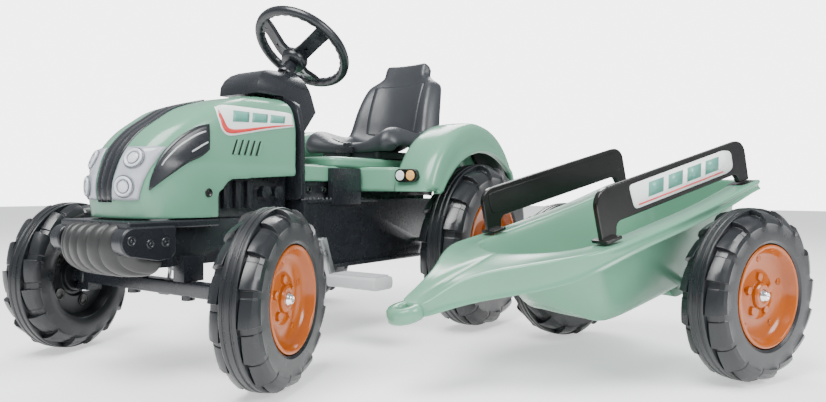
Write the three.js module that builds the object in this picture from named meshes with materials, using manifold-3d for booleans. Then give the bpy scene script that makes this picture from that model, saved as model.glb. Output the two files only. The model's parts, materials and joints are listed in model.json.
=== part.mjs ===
// A child's pedal tractor with an unhitched two-wheel trailer standing beside it.
// Millimetres. +Z up, the tractor faces -Y and its left side is +X. The floor is z = 0.
// The tractor's own frame has y = 0 under the front axle; the last lines centre the whole set on the origin.
import * as THREE from 'three';
import { mergeVertices } from 'three/addons/utils/BufferGeometryUtils.js';
import Module from 'manifold-3d';

const wasm = await Module();
wasm.setup();

// ---------- driving dimensions ----------
const WHEEL_R = 115; // front and trailer wheels
const REAR_R = 149.5; // driven wheels
const WHEELBASE = 517;
const HALF_TRACK = 218;
const STEER_REST = 20 * Math.PI / 180; // the front wheels stand turned to the left
const KINGPIN_INSET = 24; // kingpin to the middle of the wheel
const STEER_ARM = 44;
const ROD_FLOOR = 98.5; // underside of the tie rod
const STEER_RATIO = 0.95; // steering wheel turn for each turn of the front wheels
const COLUMN_TILT = 39 * Math.PI / 180;
const WHEEL_RING_R = 81; // steering wheel, middle of its ring
const RING_TUBE_R = 9;
const HOOD_HALF = 80;
const HOOD_FLOOR = 211;
const HOOD_WALL = 4;
const HOOD_REAR = 190;
const BOX_HALF = 85; // transmission box
const BOX_FLOOR = 120;
const DECK_TOP = 289; // saddle body
const HUMP_TOP = 306;
const FENDER_IN = 150;
const FENDER_OUT = 225;
const FENDER_SKIN = 5;
const CRANK_Y = 230;
const CRANK_Z = 165;
const CRANK_ARM = 64;
const CRANK_REST = 20 * Math.PI / 180; // left arm leans back from straight down
const PEDAL_IN = 108;
const PEDAL_OUT = 204;
const SPROCKET_DRIVE_R = 36;
const SPROCKET_AXLE_R = 28;
const AXLE_R = 7;
const BORE_R = 7.5;
const GAP = 0.4; // between neighbours that touch
const TRAILER_AXLE = [538.7, 468.5]; // middle of the trailer axle
const TRAILER_TURN = -23.3 * Math.PI / 180;
const TRAILER_DIP = 14.3 * Math.PI / 180; // the unhitched tub leans on its nose
const TRAILER_HALF_TRACK = 168;
const TUB_FLOOR_HALF = 60;
const TUB_HALF = 99; // outside of the walls at the rim
const RIM_HALF = 130;
const TUB_WALL = 5;
const BOARD_IN = 107;
const BOARD_OUT = 115;
const BOARD_TOP = 186;
const HITCH_TOP = 198; // towing height with the tub level
const HINGE_Y = 135; // hood hinge pin
const HINGE_Z = 376.5;

// ---------- finishes ----------
const finish = (color, roughness, metalness) => ({ color, roughness, metalness });
const GREEN = finish(0x86b89f, 0.35, 0);
const BLACK = finish(0x26292c, 0.5, 0);
const TYRE = finish(0x2a2c30, 0.55, 0);
const ORANGE = finish(0xc86420, 0.25, 0);
const GREY = finish(0x4b4e55, 0.6, 0);
const SILVER = finish(0xb9bcc0, 0.4, 0.3);
const STEEL = finish(0x9a9da1, 0.35, 0.9);
const LENS = finish(0xd7dae0, 0.2, 0);
const BOARD = finish(0x1e1e1c, 0.5, 0);

// ---------- helpers ----------
function solid(geometry) {
  // One manifold solid from any closed three.js geometry.
  const bare = geometry.clone();
  bare.deleteAttribute('normal');
  bare.deleteAttribute('uv');
  const merged = mergeVertices(bare, 1e-3);
  const index = merged.index.array;
  const kept = [];
  for (let i = 0; i < index.length; i += 3) {
    const [a, b, c] = [index[i], index[i + 1], index[i + 2]];
    if (a !== b && b !== c && a !== c) kept.push(a, b, c);
  }
  const mesh = new wasm.Mesh({
    numProp: 3,
    vertProperties: new Float32Array(merged.attributes.position.array),
    triVerts: new Uint32Array(kept),
  });
  return new wasm.Manifold(mesh);
}

function geometryOf(manifold) {
  const mesh = manifold.simplify(0.02).getMesh();
  const geometry = new THREE.BufferGeometry();
  geometry.setAttribute('position', new THREE.BufferAttribute(new Float32Array(mesh.vertProperties), 3));
  geometry.setIndex(new THREE.BufferAttribute(new Uint32Array(mesh.triVerts), 1));
  geometry.computeVertexNormals();
  return geometry;
}

const join = (first, ...rest) => rest.reduce((sum, piece) => sum.add(piece), first);
const cut = (first, ...rest) => rest.reduce((left, piece) => left.subtract(piece), first);

function part(name, shape, look) {
  const geometry = shape.isBufferGeometry ? shape : geometryOf(shape);
  const mesh = new THREE.Mesh(geometry, new THREE.MeshStandardMaterial(look));
  mesh.name = name;
  return mesh;
}

function block(x0, x1, y0, y1, z0, z1) {
  const geometry = new THREE.BoxGeometry(x1 - x0, y1 - y0, z1 - z0);
  geometry.translate((x0 + x1) / 2, (y0 + y1) / 2, (z0 + z1) / 2);
  return solid(geometry);
}

function rod(radius, from, to, sides = 16) {
  // A round bar between two points.
  const a = new THREE.Vector3(...from);
  const b = new THREE.Vector3(...to);
  const geometry = new THREE.CylinderGeometry(radius, radius, a.distanceTo(b), sides);
  const turn = new THREE.Quaternion().setFromUnitVectors(new THREE.Vector3(0, 1, 0), b.clone().sub(a).normalize());
  geometry.applyQuaternion(turn);
  geometry.translate(...a.add(b).multiplyScalar(0.5).toArray());
  return solid(geometry);
}

function rounded(points, radius) {
  // A closed outline whose corners are all rounded by the same radius.
  const shape = new THREE.Shape();
  const at = (i) => new THREE.Vector2(...points[(i + points.length) % points.length]);
  points.forEach((_, i) => {
    const here = at(i);
    const back = at(i - 1).sub(here);
    const ahead = at(i + 1).sub(here);
    const reach = Math.min(radius, back.length() / 2.01, ahead.length() / 2.01);
    const enter = here.clone().add(back.setLength(reach));
    const leave = here.clone().add(ahead.setLength(reach));
    if (i === 0) shape.moveTo(enter.x, enter.y);
    else shape.lineTo(enter.x, enter.y);
    shape.quadraticCurveTo(here.x, here.y, leave.x, leave.y);
  });
  shape.closePath();
  return shape;
}

function sharp(points) {
  const shape = new THREE.Shape();
  points.forEach(([x, y], i) => (i === 0 ? shape.moveTo(x, y) : shape.lineTo(x, y)));
  shape.closePath();
  return shape;
}

const SIDE = new THREE.Matrix4().makeBasis(
  new THREE.Vector3(0, 1, 0), new THREE.Vector3(0, 0, 1), new THREE.Vector3(1, 0, 0));
const FRONT = new THREE.Matrix4().makeBasis(
  new THREE.Vector3(1, 0, 0), new THREE.Vector3(0, 0, 1), new THREE.Vector3(0, -1, 0));

function extrude(shape, depth, segments) {
  return new THREE.ExtrudeGeometry(shape, { depth, bevelEnabled: false, curveSegments: segments });
}

function sideCut(shape, x0, x1, segments = 4) {
  // An outline drawn in y and z, given a width along x.
  return solid(extrude(shape, x1 - x0, segments).applyMatrix4(SIDE).translate(x0, 0, 0));
}

function frontCut(shape, y0, y1, segments = 4) {
  // An outline drawn in x and z, given a length along y.
  return solid(extrude(shape, y1 - y0, segments).applyMatrix4(FRONT).translate(0, y1, 0));
}

function planCut(shape, z0, z1, segments = 4) {
  // An outline drawn in x and y, given a height.
  return solid(extrude(shape, z1 - z0, segments).translate(0, 0, z0));
}

function turned(profile, sides) {
  // A ring or disc turned about x; each profile point is [radius, place along the axle].
  const points = [...profile, profile[0]].map(([r, x]) => new THREE.Vector2(r, x));
  return solid(new THREE.LatheGeometry(points, sides).rotateZ(-Math.PI / 2));
}

const mirrored = (points) => [...points, ...points.slice().reverse().map(([x, y]) => [-x, y])];
const scaled = (profile, k) => profile.map(([r, x]) => [r * k, x * k]);

// ---------- wheels ----------
// Both sizes share one moulding: a black body with its disc, an orange dish clipped in from outside.
function wheelPieces(label, radius) {
  const k = radius / WHEEL_R;
  const bore = BORE_R / k;
  const body = turned(scaled([
    [bore, -5], [60, -5], [68, -23], [82, -31], [98, -30], [110, -23], [115, -12],
    [115, 12], [110, 23], [98, 30], [82, 31], [69, 24], [67.6, 5.3], [bore, 5.3],
  ], k), 20);
  const dish = turned(scaled([
    [bore, 5.7], [67.2, 5.7], [67.2, 29], [62, 29], [56, 14], [26, 12], [22, 20], [bore, 20],
  ], k), 20);
  const nut = turned(scaled([[0, 20.3], [8, 20.3], [8, 25], [4, 28], [0, 28]], k), 8);
  return [part(`${label}_tyre`, body, TYRE), part(`${label}_rim`, dish, ORANGE), part(`${label}_nut`, nut, STEEL)];
}

function wheelAt(label, radius, x, y, facing) {
  const group = new THREE.Group();
  group.add(...wheelPieces(label, radius));
  group.position.set(x, y, radius);
  group.rotation.z = facing;
  return group;
}

// ---------- front axle and steering ----------
const kingpinX = HALF_TRACK - KINGPIN_INSET;

function frontAxleBeam() {
  const bar = sideCut(rounded([[-11, 105], [11, 105], [11, 125], [-11, 125]], 4), -178, 178, 3);
  const ears = [1, -1].flatMap((side) => [[94, 102], [128, 136]].map(([z0, z1]) => {
    const ear = join(
      block(side > 0 ? 165 : -kingpinX, side > 0 ? kingpinX : -165, -11, 11, z0, z1),
      rod(12, [side * kingpinX, 0, z0], [side * kingpinX, 0, z1], 20));
    return cut(ear, rod(5.4, [side * kingpinX, 0, z0 - 1], [side * kingpinX, 0, z1 + 1], 12));
  }));
  const webs = [1, -1].map((side) => block(side > 0 ? 165 : -178, side > 0 ? 178 : -165, -11, 11, 94, 136));
  const lugs = [1, -1].map((side) => rod(9, [side * 62, 0, 99], [side * 62, 0, 124], 12));
  return join(bar, ...webs, ...ears, ...lugs);
}

function kingpin() {
  return join(rod(4.8, [0, 0, 92], [0, 0, 138], 12), rod(8, [0, 0, 136.4], [0, 0, 140], 12),
    rod(8, [0, 0, 90], [0, 0, 93.6], 12));
}

function knuckle() {
  // Seen from its kingpin, with the stub axle along +x.
  const end = KINGPIN_INSET + 19.6;
  const barrel = rod(11, [0, 0, 102.6], [0, 0, 127.4], 20);
  const stub = rod(AXLE_R, [6, 0, WHEEL_R], [end, 0, WHEEL_R], 16);
  const collar = rod(12, [8, 0, WHEEL_R], [KINGPIN_INSET - 6, 0, WHEEL_R], 16);
  const arm = block(-5, 5, 4, STEER_ARM + 6, 108.5, 114.5);
  const peg = rod(3, [0, STEER_ARM, 96], [0, STEER_ARM, 110], 10);
  return cut(join(barrel, stub, collar, arm, peg), rod(5.4, [0, 0, 100], [0, 0, 130], 12));
}

function slotPlate(x, y, half, ahead, behind, z0, z1) {
  // A rounded plate or slot round a point, half as wide as given and longer along y.
  return planCut(rounded([[x - half, y - ahead], [x + half, y - ahead], [x + half, y + behind],
    [x - half, y + behind]], half * 0.7), z0, z1, 2);
}

const FINGER_Y = 22; // where the drop arm's finger meets the tie rod

function tieRod() {
  // A flat bar behind the axle; its slots let the knuckle pegs and the drop arm swing through their arcs.
  const y = STEER_ARM * Math.cos(STEER_REST);
  const shift = -STEER_ARM * Math.sin(STEER_REST);
  const top = ROD_FLOOR + 6;
  const bar = block(-kingpinX + shift, kingpinX + shift, y - 5, y + 5, ROD_FLOOR, top);
  const ends = [-1, 1].map((side) => side * kingpinX + shift);
  const pads = ends.map((x) => slotPlate(x, y, 9, 13, 12, ROD_FLOOR, top));
  const slots = ends.map((x) => slotPlate(x, y, 5.5, 9, 8, ROD_FLOOR - 1, top + 1));
  const middle = slotPlate(shift, FINGER_Y, 13, 9.7, 22, ROD_FLOOR, top);
  const eye = slotPlate(shift, FINGER_Y, 7.5, 7.2, 8.5, ROD_FLOOR - 1, top + 1);
  return cut(join(bar, ...pads, middle), ...slots, eye);
}

const ringCentre = new THREE.Vector3(0, 284, 496);
const columnAxis = new THREE.Vector3(0, Math.sin(COLUMN_TILT), Math.cos(COLUMN_TILT));
const alongColumn = (below) => ringCentre.clone().addScaledVector(columnAxis, -below).toArray();
const COLUMN_LENGTH = 445;
const HUB_BELOW = 30;
const SHAFT_R = 6;

function onColumn(geometry, below, spin = 0) {
  // A piece drawn about +z is set on the steering axis, that far below the ring's centre.
  geometry.rotateZ(spin);
  geometry.rotateX(-COLUMN_TILT);
  return geometry.translate(...alongColumn(below));
}

function steeringWheel() {
  const ring = solid(onColumn(new THREE.TorusGeometry(WHEEL_RING_R, RING_TUBE_R, 7, 26), 0));
  const hub = solid(onColumn(new THREE.CylinderGeometry(19, 16, 24, 20).rotateX(Math.PI / 2), HUB_BELOW));
  const spin = STEER_RATIO * STEER_REST;
  const spokes = [-141, -39, 90].map((degrees) => {
    // Each spoke is a strap that drops from the ring to the hub, with a long slot along it.
    const strap = new THREE.Shape([[12, -34], [80, -6], [80, 3], [12, -22]].map((p) => new THREE.Vector2(...p)));
    const width = 26;
    const geometry = extrude(strap, width, 1).rotateX(Math.PI / 2).translate(0, width / 2, 0);
    const slot = rounded([[32, -6], [62, -6], [62, 6], [32, 6]], 5);
    const hole = extrude(slot, 60, 2).translate(0, 0, -45);
    return cut(solid(onColumn(geometry, 0, spin + degrees * Math.PI / 180)),
      solid(onColumn(hole, 0, spin + degrees * Math.PI / 180)));
  });
  const socket = solid(onColumn(new THREE.CylinderGeometry(12.5, 12.5, 10, 20).rotateX(Math.PI / 2), HUB_BELOW - 12));
  return cut(join(ring, hub, ...spokes), socket);
}

function hornButton() {
  const cap = new THREE.CylinderGeometry(11, 12, 7, 20).rotateX(Math.PI / 2);
  return solid(onColumn(cap, HUB_BELOW - 12.5));
}

function steeringShaft() {
  // The shaft, and at its foot the drop arm whose finger moves the tie rod.
  const shaft = rod(SHAFT_R, alongColumn(HUB_BELOW + 12.4), alongColumn(COLUMN_LENGTH), 14);
  const spin = STEER_RATIO * STEER_REST;
  const arm = new THREE.BoxGeometry(13, 34, 6).translate(0, 13, 0);
  const finger = new THREE.CylinderGeometry(3, 3, 40, 10).rotateX(Math.PI / 2);
  finger.translate(0, 0, -19).rotateX(COLUMN_TILT).translate(0, 25.5, 0);
  return join(shaft, solid(onColumn(arm, COLUMN_LENGTH - 3, spin)), solid(onColumn(finger, COLUMN_LENGTH, spin)));
}

function columnSleeve() {
  const tube = rod(11, alongColumn(HUB_BELOW + 13), alongColumn(HUB_BELOW + 36), 16);
  const flare = rod(14, alongColumn(HUB_BELOW + 30), alongColumn(HUB_BELOW + 38), 16);
  return cut(join(tube, flare), rod(SHAFT_R + 0.6, alongColumn(HUB_BELOW), alongColumn(HUB_BELOW + 60), 14));
}

// ---------- front frame, weights, engine ----------
const shaftTunnel = (radius) => rod(radius, alongColumn(40), alongColumn(COLUMN_LENGTH + 20), 16);

function chassis() {
  // A deep box open below, a lower channel under the engine, and two legs that hold the axle beam.
  const box = block(-BOX_HALF, BOX_HALF, 200, 590, BOX_FLOOR, 233);
  const cap = block(-72, 72, 206.5, 560, 232, 262);
  const channel = block(-56, 56, -46, 206, 146, 208);
  const saddle = block(-74, 74, -16, 16, 125.5, 160);
  const clips = [1, -1].map((side) => join(
    block(side > 0 ? 76 : -92, side > 0 ? 92 : -76, 262, 334, 225, 240),
    block(side > 0 ? 80.6 : -92, side > 0 ? 92 : -80.6, 262, 334, 239, 285.5)));
  const ledges = [1, -1].map((side) => block(side > 0 ? 80 : -90, side > 0 ? 90 : -80, 204, 385, 229, 234));
  const skirts = [1, -1].map((side) => block(side > 0 ? 80 : -90, side > 0 ? 90 : -80, 262, 520, 120, 126));
  const outer = join(box, cap, channel, saddle, ...clips, ...ledges, ...skirts);
  const boxHollow = block(-BOX_HALF + 4, BOX_HALF - 4, 204, 586, BOX_FLOOR - 1, 229);
  const capHollow = block(-68, 68, 210, 556, 228, 258);
  const channelHollow = block(-51, 51, -41, 205, 120, 203);
  const windows = [1, -1].flatMap((side) => [[155, 182], [192, 219]].map(([z0, z1]) => block(
    side > 0 ? BOX_HALF - 2 : -BOX_HALF - 1, side > 0 ? BOX_HALF + 1 : -BOX_HALF + 2, 290, 345, z0, z1)));
  const holes = [225, 260, 295].map((y) => rod(4, [-74, y, 250], [74, y, 250], 10));
  const bearings = [rod(9, [-95, CRANK_Y, CRANK_Z], [95, CRANK_Y, CRANK_Z], 16),
    rod(8.2, [-95, WHEELBASE, REAR_R], [95, WHEELBASE, REAR_R], 16)];
  const bolts = [1, -1].map((side) => rod(9.6, [side * 62, 0, 96], [side * 62, 0, 126], 12));
  return cut(outer, boxHollow, capHollow, channelHollow, ...windows, ...holes, ...bearings, ...bolts,
    shaftTunnel(14));
}

function frontWeights() {
  // A ribbed nose that curls under, with a round-ended cheek on each side.
  const nose = new THREE.Shape();
  nose.moveTo(-50, 142);
  nose.lineTo(-50, 209);
  nose.lineTo(-96, 209);
  nose.bezierCurveTo(-122, 209, -124, 180, -114, 166);
  nose.bezierCurveTo(-104, 150, -84, 142, -50, 142);
  const plan = new THREE.Shape();
  plan.moveTo(-78, -49);
  plan.lineTo(-78, -88);
  plan.bezierCurveTo(-60, -112, -30, -121, 0, -121);
  plan.bezierCurveTo(30, -121, 60, -112, 78, -88);
  plan.lineTo(78, -49);
  const ribs = [-62, -44, -26, -8, 10, 28, 46, 64].map((x) => block(x - 1.5, x + 1.5, -126, -108 + Math.abs(x) * 0.3,
    150, 206));
  const cheeks = [1, -1].map((side) => join(
    sideCut(rounded([[-112, 156], [-34, 156], [-34, 203], [-112, 203]], 20), side > 0 ? 58 : -82, side > 0 ? 82 : -58),
    block(side > 0 ? 58 : -80, side > 0 ? 80 : -58, -60, 40, 197, 208)));
  const body = sideCut(nose, -78, 78, 5).intersect(planCut(plan, 140, 212, 6));
  return cut(join(body, ...cheeks), ...ribs, block(-54, 54, -84, -40, 158, 203));
}

function engineBlock() {
  const core = block(-52, 52, 50, 192, 208.5, 284);
  const pipes = [70, 92, 114].flatMap((y) => [1, -1].map((side) => rod(7, [side * 54, y, 222], [side * 54, y, 262], 10)));
  const pots = [142, 168].flatMap((y) => [1, -1].map((side) => rod(10, [side * 48, y, 245], [side * 64, y, 245], 12)));
  return cut(join(core, ...pipes, ...pots), block(-46, 46, 56, 186, 200, 278), shaftTunnel(13));
}

// ---------- hood ----------
function hoodOutline(inset) {
  const shape = new THREE.Shape();
  const low = HOOD_FLOOR - (inset > 0 ? 5 : 0);
  const rear = HOOD_REAR + (inset > 0 ? 5 : 0);
  shape.moveTo(-78 + inset, low);
  shape.splineThru([[-83 + inset, 240], [-76 + inset, 280 - inset * 0.3], [-52 + inset * 0.7, 322 - inset * 0.8],
    [-10 + inset * 0.4, 356 - inset], [48, 380 - inset], [120, 391 - inset], [rear, 394 - inset],
  ].map((p) => new THREE.Vector2(...p)));
  shape.lineTo(rear, low);
  shape.closePath();
  return shape;
}

function hoodVolume(inset) {
  const half = HOOD_HALF - inset;
  const low = HOOD_FLOOR - (inset > 0 ? 5 : 0);
  const plan = new THREE.Shape();
  plan.moveTo(-half, HOOD_REAR + 6);
  plan.lineTo(-half, -30 + inset);
  plan.bezierCurveTo(-half, -62 + inset, -50, -84 + inset, 0, -84 + inset);
  plan.bezierCurveTo(50, -84 + inset, half, -62 + inset, half, -30 + inset);
  plan.lineTo(half, HOOD_REAR + 6);
  const section = rounded([[-half, low], [half, low], [half - 3, 340], [half - 14, 384 - inset], [34, 395 - inset],
    [-34, 395 - inset], [-half + 14, 384 - inset], [-half + 3, 340]], 12);
  return sideCut(hoodOutline(inset), -half, half, 3).intersect(planCut(plan, 200, 400, 4)).intersect(
    frontCut(section, -90, HOOD_REAR + 6, 2));
}

const hingeBore = () => rod(3.5, [-70, HINGE_Y, HINGE_Z], [70, HINGE_Y, HINGE_Z], 12);

function hoodShell() {
  // The shell is open below and behind; an arch on each side shows the engine.
  const arch = rounded([[39, 150], [39, 258], [70, 267], [HOOD_REAR + 20, 272], [HOOD_REAR + 20, 150]], 22);
  const shell = cut(hoodVolume(0), hoodVolume(HOOD_WALL), sideCut(arch, -HOOD_HALF - 5, HOOD_HALF + 5));
  const louvres = [60, 71, 82, 93, 104].map((y) => sideCut(
    sharp([[y, 300], [y + 3, 300], [y + 13, 321], [y + 10, 321]]), -HOOD_HALF - 5, HOOD_HALF + 5));
  const lugs = [1, -1].map((side) => cut(
    block(side > 0 ? 51 : -57, side > 0 ? 57 : -51, HINGE_Y - 9, HINGE_Y + 9, 369, 387), hingeBore()));
  const notch = block(-14, 14, 150, HOOD_REAR + 5, 380, 400);
  const opened = cut(shell, ...louvres, notch, rod(5, [-90, 20, 245], [90, 20, 245], 12));
  return join(opened, ...lugs).intersect(hoodVolume(0));
}

function hoodGrown(amount) {
  // The hood's full volume with its sides, nose and top pushed out by that much.
  const wide = 1 + amount / HOOD_HALF;
  const tall = 1 + amount / 150;
  return hoodVolume(0).translate([0, -60, -250]).scale([wide, 1 + amount / 140, tall]).translate([0, 60, 250]);
}

function largest(manifold) {
  return manifold.decompose().sort((a, b) => b.volume() - a.volume())[0];
}

const TRIM_NEAR = 0.4; // trims stand that far off the hood
const TRIM_FAR = 2;

function trim(outline, x0, x1) {
  // A thin plate that follows the hood's surface inside an outline drawn in y and z.
  const layer = hoodGrown(TRIM_FAR).subtract(hoodGrown(TRIM_NEAR));
  return largest(layer.intersect(sideCut(outline, x0, x1, 5)));
}

function grilleStrip() {
  const width = new THREE.Shape();
  width.moveTo(-15, -100);
  width.lineTo(15, -100);
  width.bezierCurveTo(21, -60, 20, 10, 0, 44);
  width.bezierCurveTo(-20, 10, -21, -60, -15, -100);
  const strip = trim(sharp([[-100, 233], [-40, 233], [80, 372], [44, 400], [-100, 400]]), -40, 40);
  return largest(strip.intersect(planCut(width, 200, 420, 6)));
}

function headlight(side) {
  const outline = rounded([[-100, 233], [-55, 233], [-30, 306], [-100, 306]], 5);
  return side > 0 ? trim(outline, 19, 64) : trim(outline, -64, -19);
}

function sideVent(side) {
  const outline = new THREE.Shape();
  outline.moveTo(-62, 248);
  outline.bezierCurveTo(-56, 285, -28, 325, 20, 340);
  outline.bezierCurveTo(26, 325, 24, 305, 12, 296);
  outline.bezierCurveTo(-12, 284, -40, 272, -62, 248);
  return side > 0 ? trim(outline, 64.6, 100) : trim(outline, -100, -64.6);
}

// ---------- dash ----------
const DASH_Y = 196;

function dashConsole() {
  // A firewall behind the hood, a dome over the hood's rear edge, and two arms that hold the hinge pin.
  const wall = frontCut(rounded([[-83, 233], [83, 233], [83, 340], [72, 386], [40, 398], [-40, 398], [-72, 386],
    [-83, 340]], 10), DASH_Y, DASH_Y + 9, 2);
  const dome = new THREE.Shape();
  dome.moveTo(141, 399);
  dome.bezierCurveTo(140, 425, 158, 440, 184, 441);
  dome.lineTo(228, 442);
  dome.bezierCurveTo(246, 442, 256, 420, 262, 404);
  dome.lineTo(272, 380);
  dome.lineTo(240, 340);
  dome.lineTo(DASH_Y, 330);
  dome.lineTo(DASH_Y, 399);
  const domeFront = rounded([[-44, 320], [44, 320], [44, 420], [30, 444], [-30, 444], [-44, 420]], 14);
  const cowl = sideCut(dome, -44, 44, 5).intersect(frontCut(domeFront, 130, 280, 3));
  // Each arm drops from the pin before it turns back, clear of the hood's rear edge as that swings down.
  const armOutline = sharp([[HINGE_Y - 8, 308], [DASH_Y + 1, 308], [DASH_Y + 1, 324], [HINGE_Y + 7, 324],
    [HINGE_Y + 7, HINGE_Z], [HINGE_Y + 3, HINGE_Z + 5.5], [HINGE_Y - 4, HINGE_Z + 5.5], [HINGE_Y - 8, HINGE_Z]]);
  const arms = [1, -1].map((side) => cut(
    sideCut(armOutline, side > 0 ? 43 : -49, side > 0 ? 49 : -43), hingeBore()));
  const inside = block(-38, 38, DASH_Y + 10, 250, 320, 398);
  return cut(join(wall, cowl, ...arms), inside, shaftTunnel(12.5));
}

const hingePin = () => rod(3, [-58, HINGE_Y, HINGE_Z], [58, HINGE_Y, HINGE_Z], 10);

// ---------- saddle body ----------
function fenderArc(yc, zc, radius, floor) {
  // The part of a disc above a level, as an outline in y and z.
  const start = Math.asin((floor - zc) / radius);
  const shape = new THREE.Shape();
  shape.absarc(yc, zc, radius, start, Math.PI - start, false);
  shape.closePath();
  return shape;
}

function saddleBody() {
  const between = (side, a, b) => (side > 0 ? [a, b] : [-b, -a]);
  const tunnel = block(-80, 80, 206.5, 340, 264, DECK_TOP);
  const deck = planCut(rounded([[-FENDER_IN - 2, 352], [-80, 338], [80, 338], [FENDER_IN + 2, 352],
    [FENDER_IN + 2, 645], [-FENDER_IN - 2, 645]], 14), 247, DECK_TOP);
  const hump = planCut(rounded([[-85, 275], [85, 275], [85, 620], [-85, 620]], 26), DECK_TOP - 3, HUMP_TOP);
  const fenders = [1, -1].map((side) => sideCut(fenderArc(506, 207, 161, 247),
    ...between(side, FENDER_IN, FENDER_OUT), 14));
  const wings = [1, -1].map((side) => block(...between(side, FENDER_IN - 4, FENDER_OUT), 352, 400, 247, DECK_TOP));
  const outer = join(tunnel, deck, hump, ...fenders, ...wings);
  const inTunnel = block(-75, 75, 200, 345, 240, DECK_TOP - 5);
  const inDeck = block(-FENDER_IN + 4, FENDER_IN - 4, 357, 640, 240, DECK_TOP - 5);
  const inFront = block(-75, 75, 340, 360, 240, DECK_TOP - 5);
  const inHump = planCut(rounded([[-80, 280], [80, 280], [80, 615], [-80, 615]], 22), DECK_TOP - 6, HUMP_TOP - 5);
  const wheelRooms = [1, -1].flatMap((side) => [
    sideCut(fenderArc(506, 207, 156, 246), ...between(side, FENDER_IN + FENDER_SKIN, FENDER_OUT - FENDER_SKIN), 14),
    sideCut(fenderArc(527, 143, 179, 146), ...between(side, FENDER_OUT - FENDER_SKIN - 1, FENDER_OUT + 5), 14),
    block(...between(side, FENDER_IN - 5, FENDER_IN + 6), 372, 640, 240, DECK_TOP - 5),
  ]);
  const latchSlot = block(-7, 7, 270, 290, 294, 320);
  return cut(outer, inTunnel, inDeck, inFront, inHump, ...wheelRooms, latchSlot);
}

function fenderLamp(side) {
  const x = side * 171;
  return frontCut(rounded([[x - 17, 267], [x + 17, 267], [x + 17, 281], [x - 17, 281]], 7), 346.6, 350.6);
}

// ---------- seat ----------
const SEAT_FLOOR = HUMP_TOP + 2;

function seatShell() {
  const side = new THREE.Shape();
  side.moveTo(418, SEAT_FLOOR);
  side.bezierCurveTo(400, SEAT_FLOOR + 6, 398, 352, 424, 366);
  side.lineTo(528, 352);
  side.lineTo(566, 478);
  side.bezierCurveTo(568, 500, 566, 516, 580, 517);
  side.bezierCurveTo(600, 517, 604, 500, 600, 478);
  side.lineTo(584, 380);
  side.bezierCurveTo(580, 335, 570, SEAT_FLOOR, 545, SEAT_FLOOR);
  const front = rounded([[-104, SEAT_FLOOR], [104, SEAT_FLOOR], [119, 350], [118, 375], [94, 476], [60, 480], [58, 517],
    [-58, 517], [-60, 480], [-94, 476], [-118, 375], [-119, 350]], 12);
  const plan = rounded([[-106, 398], [106, 398], [122, 440], [122, 610], [-122, 610], [-122, 440]], 22);
  const body = sideCut(side, -122, 122, 5).intersect(frontCut(front, 390, 620, 2)).intersect(planCut(plan, 300, 520, 3));
  const bowl = sideCut(sharp([[390, 340], [535, 334], [578, 478], [560, 484], [524, 372], [390, 372]]), -76, 76);
  const latchSlot = block(-9, 9, 395, 421, 300, 345);
  const under = sideCut(sharp([[428, 300], [428, 335], [535, 322], [556, 360], [590, 480], [596, 480], [580, 380],
    [560, 300]]), -70, 70);
  return cut(body, bowl, latchSlot, under);
}

function seatLatch() {
  // A T-shaped tab in the seat's front edge; lifting it frees the seat to slide.
  return join(block(-8, 8, 404, 412, 312, 338), block(-20, 20, 396.4, 404, 318, 330), block(-5, 5, 404, 416, 307, 313));
}

// ---------- drive ----------
function crankset() {
  const axle = rod(8, [-98, CRANK_Y, CRANK_Z], [98, CRANK_Y, CRANK_Z], 16);
  const arms = [1, -1].map((side) => {
    const y = CRANK_Y + side * CRANK_ARM * Math.sin(CRANK_REST);
    const z = CRANK_Z - side * CRANK_ARM * Math.cos(CRANK_REST);
    const arm = new THREE.BoxGeometry(8, 14, CRANK_ARM + 12).rotateX(CRANK_REST);
    arm.translate(side * 98, (CRANK_Y + y) / 2, (CRANK_Z + z) / 2);
    return join(solid(arm), rod(5, [side * 96, y, z], [side * (PEDAL_OUT - 10), y, z], 12));
  });
  return join(axle, ...arms);
}

function pedal(side) {
  const y = CRANK_Y + side * CRANK_ARM * Math.sin(CRANK_REST);
  const z = CRANK_Z - side * CRANK_ARM * Math.cos(CRANK_REST);
  const [x0, x1] = side > 0 ? [PEDAL_IN, PEDAL_OUT] : [-PEDAL_OUT, -PEDAL_IN];
  const block3 = sideCut(rounded([[y - 24, z - 10], [y + 24, z - 10], [y + 24, z + 10], [y - 24, z + 10]], 7), x0, x1, 3);
  const reach = side > 0 ? [x0 - 1, x1 - 6] : [x0 + 6, x1 + 1];
  return cut(block3, rod(5.5, [reach[0], y, z], [reach[1], y, z], 12));
}

function sprocket(radius, y, z, x, bore) {
  return cut(rod(radius, [x - 3, y, z], [x + 3, y, z], 24), rod(bore, [x - 4, y, z], [x + 4, y, z], 16));
}

const SPROCKET_X = -24;

function beltLoop(grow) {
  // The loop round both sprockets, that far outside them, as an outline in y and z.
  const run = new THREE.Vector2(WHEELBASE - CRANK_Y, REAR_R - CRANK_Z);
  const lean = Math.atan2(run.y, run.x);
  const spread = Math.acos((SPROCKET_DRIVE_R - SPROCKET_AXLE_R) / run.length());
  const shape = new THREE.Shape();
  shape.absarc(CRANK_Y, CRANK_Z, SPROCKET_DRIVE_R + grow, lean + spread, lean - spread + 2 * Math.PI, false);
  shape.absarc(WHEELBASE, REAR_R, SPROCKET_AXLE_R + grow, lean - spread, lean + spread, false);
  shape.closePath();
  return shape;
}

function driveChain() {
  return cut(sideCut(beltLoop(6), SPROCKET_X - 4, SPROCKET_X + 4, 10), sideCut(beltLoop(0.6), SPROCKET_X - 5,
    SPROCKET_X + 5, 10));
}

const rearEnd = HALF_TRACK + 19.6 * REAR_R / WHEEL_R;

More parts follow.
